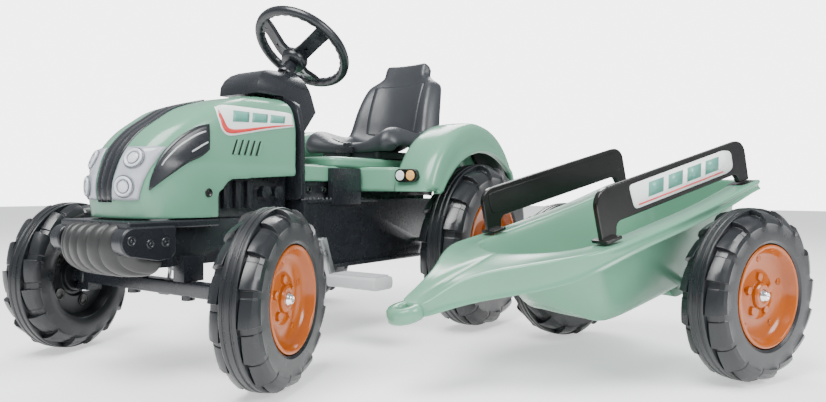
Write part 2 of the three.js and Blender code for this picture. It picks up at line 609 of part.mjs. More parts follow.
function towHitch() {
  const plate = planCut(rounded([[-26, 590.4], [26, 590.4], [26, 655], [-26, 655]], 12), HITCH_TOP - 6, HITCH_TOP);
  const foot = block(-26, 26, 590.4, 596, 160, 225);
  return join(plate, foot, rod(6, [0, 638, HITCH_TOP - 2], [0, 638, HITCH_TOP + 27], 14));
}

// ---------- trailer ----------
// The tub is drawn in its own frame: the axle along x at the origin, the drawbar towards -y, the rim level.
const RIM_TOP = [[165, 104], [150, 118], [118, 126], [60, 123], [0, 119], [-140, 118], [-212, 120], [-262, 124],
  [-345, 122], [-400, 108], [-450, 99]];
const SKIRT_FOOT = [[-450, 88], [-342, 87], [-277, 90], [-200, 98], [-142, 101], [0, 103], [60, 108], [120, 112],
  [165, 95]];
const EYE_Y = -417;

function rimPlan(inset) {
  // The rim seen from above, drawn in to a narrow drawbar at the front.
  const half = RIM_HALF - inset;
  const bar = 23 - inset;
  const shape = new THREE.Shape();
  shape.moveTo(-half, 120 - inset);
  shape.lineTo(-half, -225);
  shape.bezierCurveTo(-half, -275 + inset, -70, -275 + inset, -bar, -345);
  shape.lineTo(-bar, -420);
  shape.bezierCurveTo(-bar, -445 + inset, bar, -445 + inset, bar, -420);
  shape.lineTo(bar, -345);
  shape.bezierCurveTo(70, -275 + inset, half, -275 + inset, half, -225);
  shape.lineTo(half, 120 - inset);
  shape.bezierCurveTo(half, 172 - inset, -half, 172 - inset, -half, 120 - inset);
  return shape;
}

function tubBowl(inset) {
  // The tapering body below the rim.
  const top = 118 + (inset > 0 ? 20 : 0);
  const flare = (TUB_HALF - TUB_FLOOR_HALF) * (top - inset) / 118;
  const wide = TUB_FLOOR_HALF - inset + flare;
  const side = rounded([[112 - inset, inset], [-170 + inset, inset], [-258 + inset, 66], [-266 + inset, top],
    [118 - inset, top]], 14);
  const front = sharp([[-TUB_FLOOR_HALF + inset, inset], [TUB_FLOOR_HALF - inset, inset], [wide, top], [-wide, top]]);
  const plan = rounded([[-110, 130], [110, 130], [110, -210], [42, -275 + inset], [-42, -275 + inset], [-110, -210]], 24);
  return sideCut(side, -112, 112, 3).intersect(frontCut(front, -270, 140, 1)).intersect(planCut(plan, -1, 150, 3));
}

function trailerTub() {
  // One moulding: bowl, rim plate, hanging skirt, drawbar with its eye, and a block that holds the axle.
  const under = [...RIM_TOP].reverse().map(([y, z]) => [y, z - TUB_WALL]);
  const plate = sideCut(sharp([...RIM_TOP, ...under]), -RIM_HALF, RIM_HALF).intersect(planCut(rimPlan(0), 60, 150, 5));
  const skirt = sideCut(sharp([...RIM_TOP, ...SKIRT_FOOT]), -RIM_HALF, RIM_HALF).intersect(
    planCut(rimPlan(0), 60, 150, 5)).subtract(planCut(rimPlan(4), 50, 160, 5));
  const boss = rod(14, [0, EYE_Y, 88], [0, EYE_Y, 104], 14);
  const axleBlock = block(-TUB_FLOOR_HALF, TUB_FLOOR_HALF, -13, 13, -10, 4);
  const well = cut(tubBowl(TUB_WALL), block(-110, 110, -13, 13, 0, 13));
  const slots = [1, -1].flatMap((side) => [[-187, -139], [70, 112]].map(([y0, y1]) => block(
    side > 0 ? BOARD_IN + 1 : -BOARD_OUT + 1, side > 0 ? BOARD_OUT - 1 : -BOARD_IN - 1, y0, y1, 100, 140)));
  return cut(join(plate, skirt, boss, axleBlock, tubBowl(0)), well, ...slots,
    rod(7.5, [0, EYE_Y, 60], [0, EYE_Y, 140], 14), rod(AXLE_R + GAP, [-140, 0, 0], [140, 0, 0], 16));
}

function sideBoard(side) {
  // A round-cornered plate on two feet whose tongues plug into the rim, with a long gap between the feet.
  const foot = 127;
  const outline = new THREE.Shape();
  outline.moveTo(-192, foot - 6);
  outline.bezierCurveTo(-194, 160, -192, BOARD_TOP, -158, BOARD_TOP);
  outline.lineTo(88, BOARD_TOP);
  outline.bezierCurveTo(116, BOARD_TOP, 122, 160, 119, foot);
  outline.lineTo(65, foot);
  outline.bezierCurveTo(65, 136, 62, 140, 54, 140);
  outline.lineTo(-122, 140);
  outline.bezierCurveTo(-130, 140, -132, 136, -132, foot - 6);
  const tongues = [[-184, -142], [73, 109]].map(([y0, y1]) => block(side > 0 ? BOARD_IN + 1.5 : -BOARD_OUT + 1.5,
    side > 0 ? BOARD_OUT - 1.5 : -BOARD_IN - 1.5, y0, y1, 108, 130));
  return join(sideCut(outline, side > 0 ? BOARD_IN : -BOARD_OUT, side > 0 ? BOARD_OUT : -BOARD_IN, 4), ...tongues);
}

// ---------- the whole set ----------
const tractor = new THREE.Group();
tractor.add(part('chassis', chassis(), BLACK));
tractor.add(part('front_weights', frontWeights(), BLACK));
tractor.add(part('engine_block', engineBlock(), BLACK));
tractor.add(part('front_axle_beam', frontAxleBeam(), BLACK));
tractor.add(part('tie_rod', tieRod(), BLACK));
tractor.add(part('hood_shell', hoodShell(), GREEN));
tractor.add(part('hood_hinge_pin', hingePin(), STEEL));
tractor.add(part('grille_strip', grilleStrip(), BLACK));
tractor.add(part('dash_console', dashConsole(), BLACK));
tractor.add(part('steering_wheel', steeringWheel(), BLACK));
tractor.add(part('horn_button', hornButton(), ORANGE));
tractor.add(part('steering_shaft', steeringShaft(), STEEL));
tractor.add(part('column_sleeve', columnSleeve(), SILVER));
tractor.add(part('saddle_body', saddleBody(), GREEN));
tractor.add(part('seat_shell', seatShell(), GREY));
tractor.add(part('seat_latch', seatLatch(), BLACK));
tractor.add(part('crankset', crankset(), STEEL));
tractor.add(part('drive_sprocket', sprocket(SPROCKET_DRIVE_R, CRANK_Y, CRANK_Z, SPROCKET_X, 8.4), STEEL));
tractor.add(part('axle_sprocket', sprocket(SPROCKET_AXLE_R, WHEELBASE, REAR_R, SPROCKET_X, 7.4), STEEL));
tractor.add(part('drive_chain', driveChain(), STEEL));
tractor.add(part('rear_axle', rod(AXLE_R, [-rearEnd, WHEELBASE, REAR_R], [rearEnd, WHEELBASE, REAR_R], 16), STEEL));
tractor.add(part('tow_hitch', towHitch(), BLACK));
for (const [side, word] of [[1, 'left'], [-1, 'right']]) {
  const facing = side > 0 ? 0 : Math.PI;
  const steered = new THREE.Group();
  steered.position.set(side * kingpinX, 0, 0);
  steered.rotation.z = STEER_REST;
  const turnOut = new THREE.Group();
  const hub = knuckle();
  turnOut.add(part(`knuckle_${word}`, side > 0 ? hub : mirrorX(hub), BLACK));
  turnOut.add(wheelAt(`front_${word}`, WHEEL_R, side * KINGPIN_INSET, 0, facing));
  steered.add(turnOut);
  tractor.add(steered);
  const pin = part(`kingpin_${word}`, kingpin(), STEEL);
  pin.position.x = side * kingpinX;
  tractor.add(pin);
  tractor.add(part(`headlight_${word}`, headlight(side), LENS));
  tractor.add(part(`side_vent_${word}`, sideVent(side), BLACK));
  tractor.add(part(`fender_lamp_${word}`, fenderLamp(side), LENS));
  tractor.add(part(`pedal_${word}`, pedal(side), SILVER));
  tractor.add(wheelAt(`rear_${word}`, REAR_R, side * HALF_TRACK, WHEELBASE, facing));
}

function mirrorX(manifold) {
  return manifold.mirror([1, 0, 0]);
}

const trailer = new THREE.Group();
const tipping = new THREE.Group();
tipping.position.z = WHEEL_R;
tipping.rotation.x = TRAILER_DIP;
tipping.add(part('trailer_tub', trailerTub(), GREEN));
const axleEnd = TRAILER_HALF_TRACK + 19.6;
tipping.add(part('trailer_axle', rod(AXLE_R, [-axleEnd, 0, 0], [axleEnd, 0, 0], 16), STEEL));
trailer.add(tipping);
for (const [side, word] of [[1, 'left'], [-1, 'right']]) {
  tipping.add(part(`side_board_${word}`, sideBoard(side), BOARD));
  trailer.add(wheelAt(`trailer_${word}`, WHEEL_R, side * TRAILER_HALF_TRACK, 0, side > 0 ? 0 : Math.PI));
}
trailer.position.set(TRAILER_AXLE[0], TRAILER_AXLE[1], 0);
trailer.rotation.z = TRAILER_TURN;

const group = new THREE.Group();
group.add(tractor, trailer);
group.updateMatrixWorld(true);
const reach = new THREE.Box3().setFromObject(group, true);
const middle = reach.getCenter(new THREE.Vector3());
group.position.set(-middle.x, -middle.y, 0);

export default group;
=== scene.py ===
# %% [markdown]
# A child's pedal tractor and its two-wheel trailer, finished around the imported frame. Every moulding is drawn
# in millimetres, in the frame of the machine it belongs to, and carried to the row frame by one matrix. The
# tractor's frame has its origin on the floor under the front axle, +X to its left and +Z up.

# %% Load the frame
import json
import math

import bmesh
import bpy
from mathutils import Matrix, Quaternion, Vector
from mathutils.bvhtree import BVHTree


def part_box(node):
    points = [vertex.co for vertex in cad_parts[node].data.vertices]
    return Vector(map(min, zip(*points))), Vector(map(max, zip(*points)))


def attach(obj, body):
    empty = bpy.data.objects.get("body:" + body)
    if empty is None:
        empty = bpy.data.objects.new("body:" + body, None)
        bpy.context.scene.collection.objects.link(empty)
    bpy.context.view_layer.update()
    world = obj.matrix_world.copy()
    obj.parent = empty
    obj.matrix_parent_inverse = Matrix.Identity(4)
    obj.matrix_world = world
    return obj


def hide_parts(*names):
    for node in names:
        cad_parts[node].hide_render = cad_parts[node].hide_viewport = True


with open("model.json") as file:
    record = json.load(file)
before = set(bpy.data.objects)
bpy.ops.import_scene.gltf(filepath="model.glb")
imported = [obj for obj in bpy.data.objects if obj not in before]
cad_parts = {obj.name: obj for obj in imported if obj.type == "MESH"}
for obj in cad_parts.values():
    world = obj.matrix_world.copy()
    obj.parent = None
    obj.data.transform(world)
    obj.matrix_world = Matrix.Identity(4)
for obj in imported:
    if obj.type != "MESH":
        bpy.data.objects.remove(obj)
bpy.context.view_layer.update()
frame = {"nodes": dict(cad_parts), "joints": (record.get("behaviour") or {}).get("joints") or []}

JOINTS = {joint["name"]: joint for joint in frame["joints"]}


def middle(node):
    low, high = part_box(node)
    return (low + high) / 2


pins = (middle("kingpin_left") + middle("kingpin_right")) / 2
TRACTOR = Matrix.Translation((pins.x, pins.y, 0)) @ Matrix.Scale(0.001, 4)

# %% [markdown]
# The trailer stands beside the tractor, turned and leaning on its nose. Two of its joints say how: the axle's
# direction comes from the tilt joint, and the tub's own upright from the way a side board lifts out.

# %% Trailer frames
def axes_matrix(origin, x, z):
    y = Vector(z).cross(Vector(x))
    turn = Matrix((Vector(x), y, Vector(z))).transposed().to_4x4()
    return Matrix.Translation(origin) @ turn @ Matrix.Scale(0.001, 4)


axle_way = Vector(JOINTS["trailer_tilt"]["axis"]).normalized()
TUB = axes_matrix(middle("trailer_axle"), axle_way, Vector(JOINTS["board_left_lift"]["axis"]).normalized())
print("trailer axle at", [round(c, 4) for c in middle("trailer_axle")])

# %% [markdown]
# The camera comes before the pieces, so that every look from the first on can be judged in the same view. It
# is a slightly wide lens, low and close to the front left corner.

# %% Camera
eye = TRACTOR @ Vector((839.5, -590.0, 251.0))
heading, dip, roll = math.radians(124.61), math.radians(0.986), math.radians(0.23)
look = Vector((math.cos(heading) * math.cos(dip), math.sin(heading) * math.cos(dip), -math.sin(dip)))
sight = (look.to_track_quat("-Z", "Y") @ Quaternion((0, 0, 1), roll)).to_matrix()
camera_data = bpy.data.cameras.new("camera")
camera_data.lens = 29.81
camera_data.sensor_width = 36
camera_data.clip_start, camera_data.clip_end = 0.02, 50
camera = bpy.data.objects.new("camera", camera_data)
camera.matrix_world = Matrix.Translation(eye) @ sight.to_4x4()
bpy.context.scene.collection.objects.link(camera)
bpy.context.scene.camera = camera
print("camera at", [round(c, 3) for c in eye])

# %% [markdown]
# A product studio is mostly white: a pale floor, a bright world and a few large soft lamps. The lamps give
# the plastic its long highlights, and the world keeps the shadows open.

# %% Floor, lights and world
def lamp(name, place, target, size, power):
    data = bpy.data.lights.new(name, "AREA")
    data.shape, data.size, data.energy = "DISK", size, power
    obj = bpy.data.objects.new(name, data)
    obj.location = TRACTOR @ Vector(place)
    obj.rotation_mode = "QUATERNION"
    obj.rotation_quaternion = ((TRACTOR @ Vector(target)) - obj.location).to_track_quat("-Z", "Y")
    bpy.context.scene.collection.objects.link(obj)


lamp("key", (300, -900, 2300), (150, 250, 200), 1.5, 105)
lamp("side", (2300, 300, 1500), (300, 300, 150), 1.2, 48)
lamp("back", (-900, 1900, 1900), (100, 300, 200), 1.4, 55)
world = bpy.data.worlds.new("studio")
bpy.context.scene.world = world
world.use_nodes = True
studio = world.node_tree
glow = studio.nodes["Background"]
glow.inputs["Color"].default_value = (0.93, 0.96, 1.0, 1)
glow.inputs["Strength"].default_value = 0.6
seen = studio.nodes.new("ShaderNodeBackground")
seen.inputs["Color"].default_value = (1, 1, 1, 1)
seen.inputs["Strength"].default_value = 5.0
choice = studio.nodes.new("ShaderNodeMixShader")
straight = studio.nodes.new("ShaderNodeLightPath").outputs["Is Camera Ray"]
studio.links.new(straight, choice.inputs[0])
studio.links.new(glow.outputs[0], choice.inputs[1])
studio.links.new(seen.outputs[0], choice.inputs[2])
studio.links.new(choice.outputs[0], studio.nodes["World Output"].inputs["Surface"])

floor_bm = bmesh.new()
bmesh.ops.create_grid(floor_bm, x_segments=1, y_segments=1, size=9)
floor_mesh = bpy.data.meshes.new("floor")
floor_bm.to_mesh(floor_mesh)
floor = bpy.data.objects.new("floor", floor_mesh)
bpy.context.scene.collection.objects.link(floor)
floor_finish = bpy.data.materials.new("floor_paper")
floor_finish.use_nodes = True
paper = floor_finish.node_tree.nodes["Principled BSDF"]
paper.inputs["Base Color"].default_value = (0.9, 0.9, 0.9, 1)
paper.inputs["Roughness"].default_value = 0.6
paper.inputs["Emission Color"].default_value = (1, 1, 1, 1)
paper.inputs["Emission Strength"].default_value = 0.7
floor_mesh.materials.append(floor_finish)
print("lamps:", [name for name in bpy.data.lights.keys()])

# %% [markdown]
# Moulded plastic is never quite even: its colour drifts a little, its gloss changes where hands and boxes
# have rubbed it, and its skin has a fine orange-peel ripple. One node group makes all three from Object
# coordinates, and each finish places it with its own strengths.

# %% The moulded skin group
def group_sockets(tree, inputs, outputs):
    for name, kind in inputs:
        tree.interface.new_socket(name, in_out="INPUT", socket_type=kind)
    for name, kind in outputs:
        tree.interface.new_socket(name, in_out="OUTPUT", socket_type=kind)
    return tree.nodes.new("NodeGroupInput"), tree.nodes.new("NodeGroupOutput")


def math_node(tree, operation, first, second):
    node = tree.nodes.new("ShaderNodeMath")
    node.operation = operation
    for socket, value in zip(node.inputs, (first, second)):
        if isinstance(value, (int, float)):
            socket.default_value = value
        else:
            tree.links.new(value, socket)
    return node.outputs[0]


def noise(tree, vector, scale, detail=2.0):
    node = tree.nodes.new("ShaderNodeTexNoise")
    node.inputs["Scale"].default_value = scale
    node.inputs["Detail"].default_value = detail
    tree.links.new(vector, node.inputs["Vector"])
    return node.outputs["Fac"]


skin = bpy.data.node_groups.new("moulded_skin", "ShaderNodeTree")
skin_in, skin_out = group_sockets(
    skin,
    [("Drift", "NodeSocketFloat"), ("Gloss", "NodeSocketFloat"), ("Scuff", "NodeSocketFloat"),
     ("Grain", "NodeSocketFloat")],
    [("Shade", "NodeSocketFloat"), ("Roughness", "NodeSocketFloat"), ("Height", "NodeSocketFloat")])
place = skin.nodes.new("ShaderNodeTexCoord").outputs["Object"]
slow = math_node(skin, "SUBTRACT", noise(skin, place, 9), 0.5)
smear = math_node(skin, "SUBTRACT", noise(skin, place, 38, 5), 0.5)
peel = noise(skin, place, 420)
grit = noise(skin, place, 1500)
skin.links.new(math_node(skin, "ADD", math_node(skin, "MULTIPLY", slow, skin_in.outputs["Drift"]), 1.0),
               skin_out.inputs["Shade"])
rub = math_node(skin, "MULTIPLY", smear, skin_in.outputs["Scuff"])
skin.links.new(math_node(skin, "ADD", skin_in.outputs["Gloss"], rub), skin_out.inputs["Roughness"])
bumps = math_node(skin, "MULTIPLY", grit, skin_in.outputs["Grain"])
skin.links.new(math_node(skin, "ADD", math_node(skin, "MULTIPLY", peel, 0.25), bumps),
               skin_out.inputs["Height"])
print("moulded_skin group has", len(skin.nodes), "nodes")

# %% [markdown]
# Each plastic is then one call with a name, a colour and its gloss at rest. The other numbers say how
# strongly the shared skin drifts, scuffs and ripples. Bright metal is the same skin with the metallic socket
# turned up.

# %% Moulded finishes
def moulded(name, color, gloss, drift=0.12, scuff=0.12, grain=0.1, bump=0.06):
    """A plastic with the shared skin; its colour is darkened and lightened by the drift."""
    material = bpy.data.materials.new(name)
    material.use_nodes = True
    tree = material.node_tree
    surface = tree.nodes["Principled BSDF"]
    used = tree.nodes.new("ShaderNodeGroup")
    used.node_tree = skin
    for socket, value in (("Drift", drift), ("Gloss", gloss), ("Scuff", scuff), ("Grain", grain)):
        used.inputs[socket].default_value = value
    tint = tree.nodes.new("ShaderNodeMix")
    tint.data_type, tint.blend_type = "RGBA", "MULTIPLY"
    tint.inputs[0].default_value = 1.0
    tint.inputs[6].default_value = (*color, 1)
    tree.links.new(used.outputs["Shade"], tint.inputs[7])
    tree.links.new(tint.outputs[2], surface.inputs["Base Color"])
    tree.links.new(used.outputs["Roughness"], surface.inputs["Roughness"])
    ripple = tree.nodes.new("ShaderNodeBump")
    ripple.inputs["Strength"].default_value = bump
    ripple.inputs["Distance"].default_value = 0.0006
    tree.links.new(used.outputs["Height"], ripple.inputs["Height"])
    tree.links.new(ripple.outputs["Normal"], surface.inputs["Normal"])
    surface.inputs["Specular IOR Level"].default_value = 0.5
    return material


GREEN = moulded("sage_plastic_finish", (0.125, 0.30, 0.20), 0.2)
BLACK = moulded("black_plastic_finish", (0.013, 0.015, 0.0185), 0.27, grain=0.4, bump=0.15)
RIB_GREY = moulded("weight_grey_finish", (0.021, 0.0215, 0.021), 0.42, grain=0.4, bump=0.15)
TYRE = moulded("tyre_plastic_finish", (0.0095, 0.011, 0.013), 0.3, scuff=0.2, grain=0.5, bump=0.2)
# Near black for the boards and bezels; it also paints shade under the fenders, in louvre slots and in hood
# holes.
SHEET = moulded("board_black_and_painted_shade", (0.006, 0.006, 0.0055), 0.22)
ORANGE = moulded("rim_orange_finish", (0.36, 0.078, 0.004), 0.17, drift=0.2)
SEAT = moulded("seat_grey_finish", (0.026, 0.029, 0.034), 0.38, grain=0.8, bump=0.3)
PALE = moulded("pale_grey_finish", (0.45, 0.46, 0.47), 0.4, grain=0.4)
LENS = moulded("lens_white_finish", (0.40, 0.42, 0.46), 0.14, drift=0.05)
GLASS = moulded("lamp_glass_finish", (0.60, 0.63, 0.68), 0.08, drift=0.05)
BEZEL = moulded("lamp_ring_finish", (0.16, 0.17, 0.19), 0.2)
AMBER = moulded("lens_amber_finish", (0.80, 0.42, 0.13), 0.2)
WHITE = moulded("label_white_finish", (0.78, 0.80, 0.80), 0.3, drift=0.04)
RED = moulded("label_red_finish", (0.62, 0.045, 0.04), 0.3)
# A paler green, used only to paint a highlight along the crowns of the rear fenders.
HIGHLIGHT_GREEN = moulded("painted_highlight_green", (0.36, 0.50, 0.42), 0.15)
TEAL = moulded("label_teal_finish", (0.10, 0.30, 0.24), 0.3)


def metal(name, color, roughness):
    material = moulded(name, color, roughness, drift=0.1, scuff=0.3, grain=0.2)
    material.node_tree.nodes["Principled BSDF"].inputs["Metallic"].default_value = 1.0
    return material


ZINC = metal("zinc_steel_finish", (0.56, 0.57, 0.58), 0.32)
CHROME = metal("chrome_cap_finish", (0.8, 0.81, 0.82), 0.1)

# %% [markdown]
# A few helpers do the workshop jobs. `piece` turns a bmesh into an object that rides on a body. `sweep` draws
# a skin through a row of sections by extruding one edge chain after another. `turned` spins a profile round
# the x axis and `spun` round the z axis, and `plate` extrudes an outline. `softened` copies a CAD part and
# rounds its edges.

# %% Workshop helpers
SIDES = ((1, "left"), (-1, "right"))


def to_side(side):
    """Leave a thing that is drawn on the left where it is, or mirror it to the right."""
    return Matrix.Scale(-1, 4, (1, 0, 0)) if side < 0 else Matrix.Identity(4)


def rounded_edge(obj, width, angle):
    """Round every edge that is sharper than an angle in degrees, by a width in millimetres."""
    edge = obj.modifiers.new("edge", "BEVEL")
    edge.width, edge.segments, edge.limit_method = width / 1000, 2, "ANGLE"
    edge.angle_limit = math.radians(angle)
    edge.harden_normals = True


def piece(name, bm, place, body, material, replaces=(), subdivide=0, wall=0, bevel=0, offset=-1, angle=35,
          keep=False, even=True):
    """Finish a bmesh drawn in millimetres as an object in metres that rides on a body."""
    bmesh.ops.remove_doubles(bm, verts=bm.verts, dist=0.02)
    if not keep:
        bmesh.ops.recalc_face_normals(bm, faces=bm.faces)
    bmesh.ops.transform(bm, matrix=place, verts=bm.verts)
    if place.determinant() < 0:
        bmesh.ops.reverse_faces(bm, faces=bm.faces)
    for face in bm.faces:
        face.smooth = True
    mesh = bpy.data.meshes.new(name)
    bm.to_mesh(mesh)
    bm.free()
    obj = bpy.data.objects.new(name, mesh)
    bpy.context.scene.collection.objects.link(obj)
    mesh.materials.append(material)
    if wall:
        thick = obj.modifiers.new("wall", "SOLIDIFY")
        thick.thickness, thick.offset, thick.use_even_offset = wall / 1000, offset, even
    if bevel:
        rounded_edge(obj, bevel, angle)
    if subdivide:
        soft = obj.modifiers.new("soft", "SUBSURF")
        soft.levels = soft.render_levels = subdivide
    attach(obj, body)
    if replaces:
        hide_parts(*replaces)
    return obj


def chain(bm, points, closed):
    verts = [bm.verts.new(p) for p in points]
    pairs = zip(verts, verts[1:] + verts[:1]) if closed else zip(verts, verts[1:])
    return verts, [bm.edges.new(pair) for pair in pairs]


def sweep(rings):
    """A skin through rings of points: each chain is extruded, and its copy is moved onto the next ring."""
    bm = bmesh.new()
    verts, edges = chain(bm, rings[0], False)
    for ring in rings[1:]:
        grown = bmesh.ops.extrude_edge_only(bm, edges=edges)["geom"]
        fresh = {g for g in grown if isinstance(g, bmesh.types.BMVert)}
        verts = [next(e.other_vert(v) for e in v.link_edges if e.other_vert(v) in fresh) for v in verts]
        for vert, point in zip(verts, ring):
            vert.co = point
        edges = [bm.edges.get(pair) for pair in zip(verts, verts[1:])]
    return bm


def turned(profile, steps):
    """Spin a closed ring of (radius, place along x) points a full turn round the x axis."""
    bm = bmesh.new()
    verts, edges = chain(bm, [(x, 0, r) for r, x in profile], True)
    bmesh.ops.spin(bm, geom=verts + edges, cent=(0, 0, 0), axis=(1, 0, 0), dvec=(0, 0, 0), angle=math.tau,
                   steps=steps, use_merge=True, use_duplicate=False)
    bmesh.ops.remove_doubles(bm, verts=bm.verts, dist=0.01)
    return bm


def spun(profile, steps, closed=False):
    """Spin (radius, height) points a full turn round the z axis."""
    bm = bmesh.new()
    verts, edges = chain(bm, [(r, 0, z) for r, z in profile], closed)
    bmesh.ops.spin(bm, geom=verts + edges, cent=(0, 0, 0), axis=(0, 0, 1), dvec=(0, 0, 0), angle=math.tau,
                   steps=steps, use_merge=True, use_duplicate=False)
    return bm


def plate(outline, plane, low, high):
    """Extrude a closed outline. Plane 'yz' gives it a width along x, 'xz' along y and 'xy' along z."""
    order = {"yz": lambda a, b, c: (c, a, b), "xz": lambda a, b, c: (a, c, b),
             "xy": lambda a, b, c: (a, b, c)}[plane]
    bm = bmesh.new()
    _, edges = chain(bm, [order(a, b, low) for a, b in outline], True)
    face = bmesh.ops.contextual_create(bm, geom=edges)["faces"][0]
    grown = bmesh.ops.extrude_face_region(bm, geom=[face])["geom"]
    shift = Vector(order(0, 0, high - low))
    bmesh.ops.translate(bm, vec=shift, verts=[g for g in grown if isinstance(g, bmesh.types.BMVert)])
    return bm


def arc(cx, cy, radius, start, end, count):
    """Points along part of a circle, with its angles in degrees."""
    angles = [math.radians(start + (end - start) * i / (count - 1)) for i in range(count)]
    return [(cx + radius * math.cos(a), cy + radius * math.sin(a)) for a in angles]


def softened(node, body, material, width):
    """A copy of a CAD node with its flat faces joined up again and its sharp edges rounded."""
    bm = bmesh.new()
    bm.from_mesh(frame["nodes"][node].data)
    bmesh.ops.remove_doubles(bm, verts=bm.verts, dist=0.00002)
    bmesh.ops.dissolve_limit(bm, angle_limit=math.radians(4), verts=bm.verts, edges=bm.edges)
    mesh = bpy.data.meshes.new(f"{node}_moulded")
    for face in bm.faces:
        face.smooth = True
    bm.to_mesh(mesh)
    bm.free()
    obj = bpy.data.objects.new(mesh.name, mesh)
    bpy.context.scene.collection.objects.link(obj)
    mesh.materials.append(material)
    rounded_edge(obj, width, 30)
    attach(obj, body)
    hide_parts(node)
    return obj


print("helpers are ready for", len(frame["nodes"]), "CAD parts")

# %% [markdown]
# The plain black and steel parts keep their CAD shape, with rounded edges. Rounding matters more than it
# seems: a moulded edge catches a thin line of light, and a sharp one looks drawn.

# %% Frame, engine and running gear
for node, finish, width in (
        ("chassis", BLACK, 1.6), ("engine_block", BLACK, 1.6), ("front_axle_beam", BLACK, 1.5),
        ("dash_console", BLACK, 3.0), ("tow_hitch", BLACK, 1.2), ("column_sleeve", BLACK, 0.8),
        ("hood_hinge_pin", ZINC, 0.4), ("kingpin_left", ZINC, 0.6), ("kingpin_right", ZINC, 0.6),
        ("drive_chain", ZINC, 0.4)):
    softened(node, "chassis", finish, width)
for node, body, finish, width in (
        ("steering_shaft", "steering", ZINC, 0.6), ("tie_rod", "tie_rod", BLACK, 1.0),
        ("knuckle_left", "knuckle_left", BLACK, 1.0), ("knuckle_right", "knuckle_right", BLACK, 1.0),
        ("crankset", "crank", ZINC, 0.8), ("drive_sprocket", "crank", ZINC, 0.5),
        ("rear_axle", "rear_axle", ZINC, 0.6), ("axle_sprocket", "rear_axle", ZINC, 0.5),
        ("trailer_axle", "trailer_axle", ZINC, 0.6), ("seat_latch", "seat_latch", BLACK, 1.5)):
    softened(node, body, finish, width)

# %% [markdown]
# The tyres are hollow plastic mouldings with a three-line band round the middle and broad paddles that step
# up on each side of it. A profile is spun for the carcass. The faces under each paddle are then inset and
# pushed out, a little further with every step round the tyre, so each paddle climbs and then drops to the gap
# before the next. The paddles of the two sides are staggered.

# %% Tyre
PADDLES = 16
PITCH_STEPS = 5
PADDLE_STEPS = 4
STAGGER = 2
TYRE_SIDE = [(67.8, 24), (68.4, 28.4), (72, 30.6), (82, 31), (91, 30.6), (97.5, 29), (102, 25), (104.8, 18.5),
             (105.6, 11.6), (112.2, 10.8), (113.2, 9.6), (113.2, 6.2), (112, 5.4), (112, 3.6), (113.6, 2.8)]
TYRE_BACK = [(94, -30), (82, -31), (72, -30), (66.5, -27), (63.5, -18), (60, -11), (55, -9), (34, -8.6),
             (31, -4.5), (27, -4.5), (25, -10), (21, -11), (9, -11), (8, -10), (8, 5.2), (60, 5.2),
             (67.6, 5.4)]


def tyre_bmesh():
    mirrored = [(r, -x) for r, x in reversed(TYRE_SIDE[5:])]
    bm = turned(TYRE_SIDE + mirrored + TYRE_BACK, PADDLES * PITCH_STEPS)
    step = math.tau / (PADDLES * PITCH_STEPS)
    paddles = []
    for face in bm.faces:
        c = face.calc_center_median()
        ahead = STAGGER if c.x > 0 else 0
        count = int(math.floor(math.atan2(c.z, c.y) / step + 0.01)) + ahead
        if 11.8 < abs(c.x) < 31 and math.hypot(c.y, c.z) > 93 and count % PITCH_STEPS < PADDLE_STEPS:
            paddles.append(face)
    bmesh.ops.inset_region(bm, faces=paddles, thickness=0.8, depth=0, use_boundary=True, use_even_offset=True)
    for v in {v for face in paddles for v in face.verts}:
        radius = math.hypot(v.co.y, v.co.z)
        out, ahead = (1, STAGGER) if v.co.x > 0 else (-1, 0)
        phase = (math.atan2(v.co.z, v.co.y) / step + ahead) % PITCH_STEPS
        lift = 1.6 + 1.8 * phase
        shoulder = min(max(0.0, (107.5 - radius) / 10), 1.0)
        swell = 1 + lift * (1 - 0.55 * shoulder) / radius
        v.co.y *= swell
        v.co.z *= swell
        v.co.x += out * lift * 0.22 * shoulder
    return bm


# Each wheel: the body that carries it, the joint on its axle, its size against the small ones and its side.
WHEELS = {
    "front_left": ("front_wheel_left", "front_left_spin", 1.0, 1),
    "front_right": ("front_wheel_right", "front_right_spin", 1.0, -1),
    "rear_left": ("rear_axle", "rear_axle_turn", 1.3, 1),
    "rear_right": ("rear_wheel_right", "rear_right_spin", 1.3, -1),
    "trailer_left": ("trailer_wheel_left", "trailer_left_spin", 1.0, 1),
    "trailer_right": ("trailer_wheel_right", "trailer_right_spin", 1.0, -1)}
POCKET_PROFILE = [(0.01, -9.5), (7.6, -9.5), (9.6, -10.6), (9.6, -9), (8, -8.2), (0.01, -8.4)]
POCKET_CIRCLE = 44


def wheel_place(label):
    """The matrix of a wheel: its middle is its tyre's, and its x axis points outwards along its own axle."""
    _, joint, size, side = WHEELS[label]
    out = Vector(JOINTS[joint]["axis"]).normalized() * side
    return axes_matrix(middle(f"{label}_tyre"), out, (0, 0, 1)) @ Matrix.Scale(size, 4)


for label, (body, *_) in WHEELS.items():
    for k in range(5):
        turn = math.tau * (k + 0.5) / 5
        spot = Matrix.Translation((0, POCKET_CIRCLE * math.cos(turn), POCKET_CIRCLE * math.sin(turn)))
        pocket = turned(POCKET_PROFILE, 20)
        piece(f"{label}_web_pocket_{k}", pocket, wheel_place(label) @ spot, body, SHEET)
    piece(f"{label}_lugged_tyre", tyre_bmesh(), wheel_place(label), body, TYRE, [f"{label}_tyre"], bevel=0.9,
          angle=24)
print("tyres have", PADDLES, "paddles a side")

# %% [markdown]
# The wheel centre is a glossy orange dish pressed in from outside. It has a rolled lip, a sloping floor with
# five low round buttons, and five taller bosses round the hub, where the axle ends in a bright cap.

# %% Rim and cap
RIM_PROFILE = [(8, 5.9), (8, 20.6), (10, 21.2), (14, 21), (16.5, 19), (17.5, 15), (21, 13.2), (29, 12.8),
               (31, 11.4), (35, 11.2), (50, 13.6), (55, 15.6), (58.6, 20), (61, 27), (62.6, 29.2),
               (65, 29.8), (66.8, 29), (67.2, 26), (67.2, 5.9)]


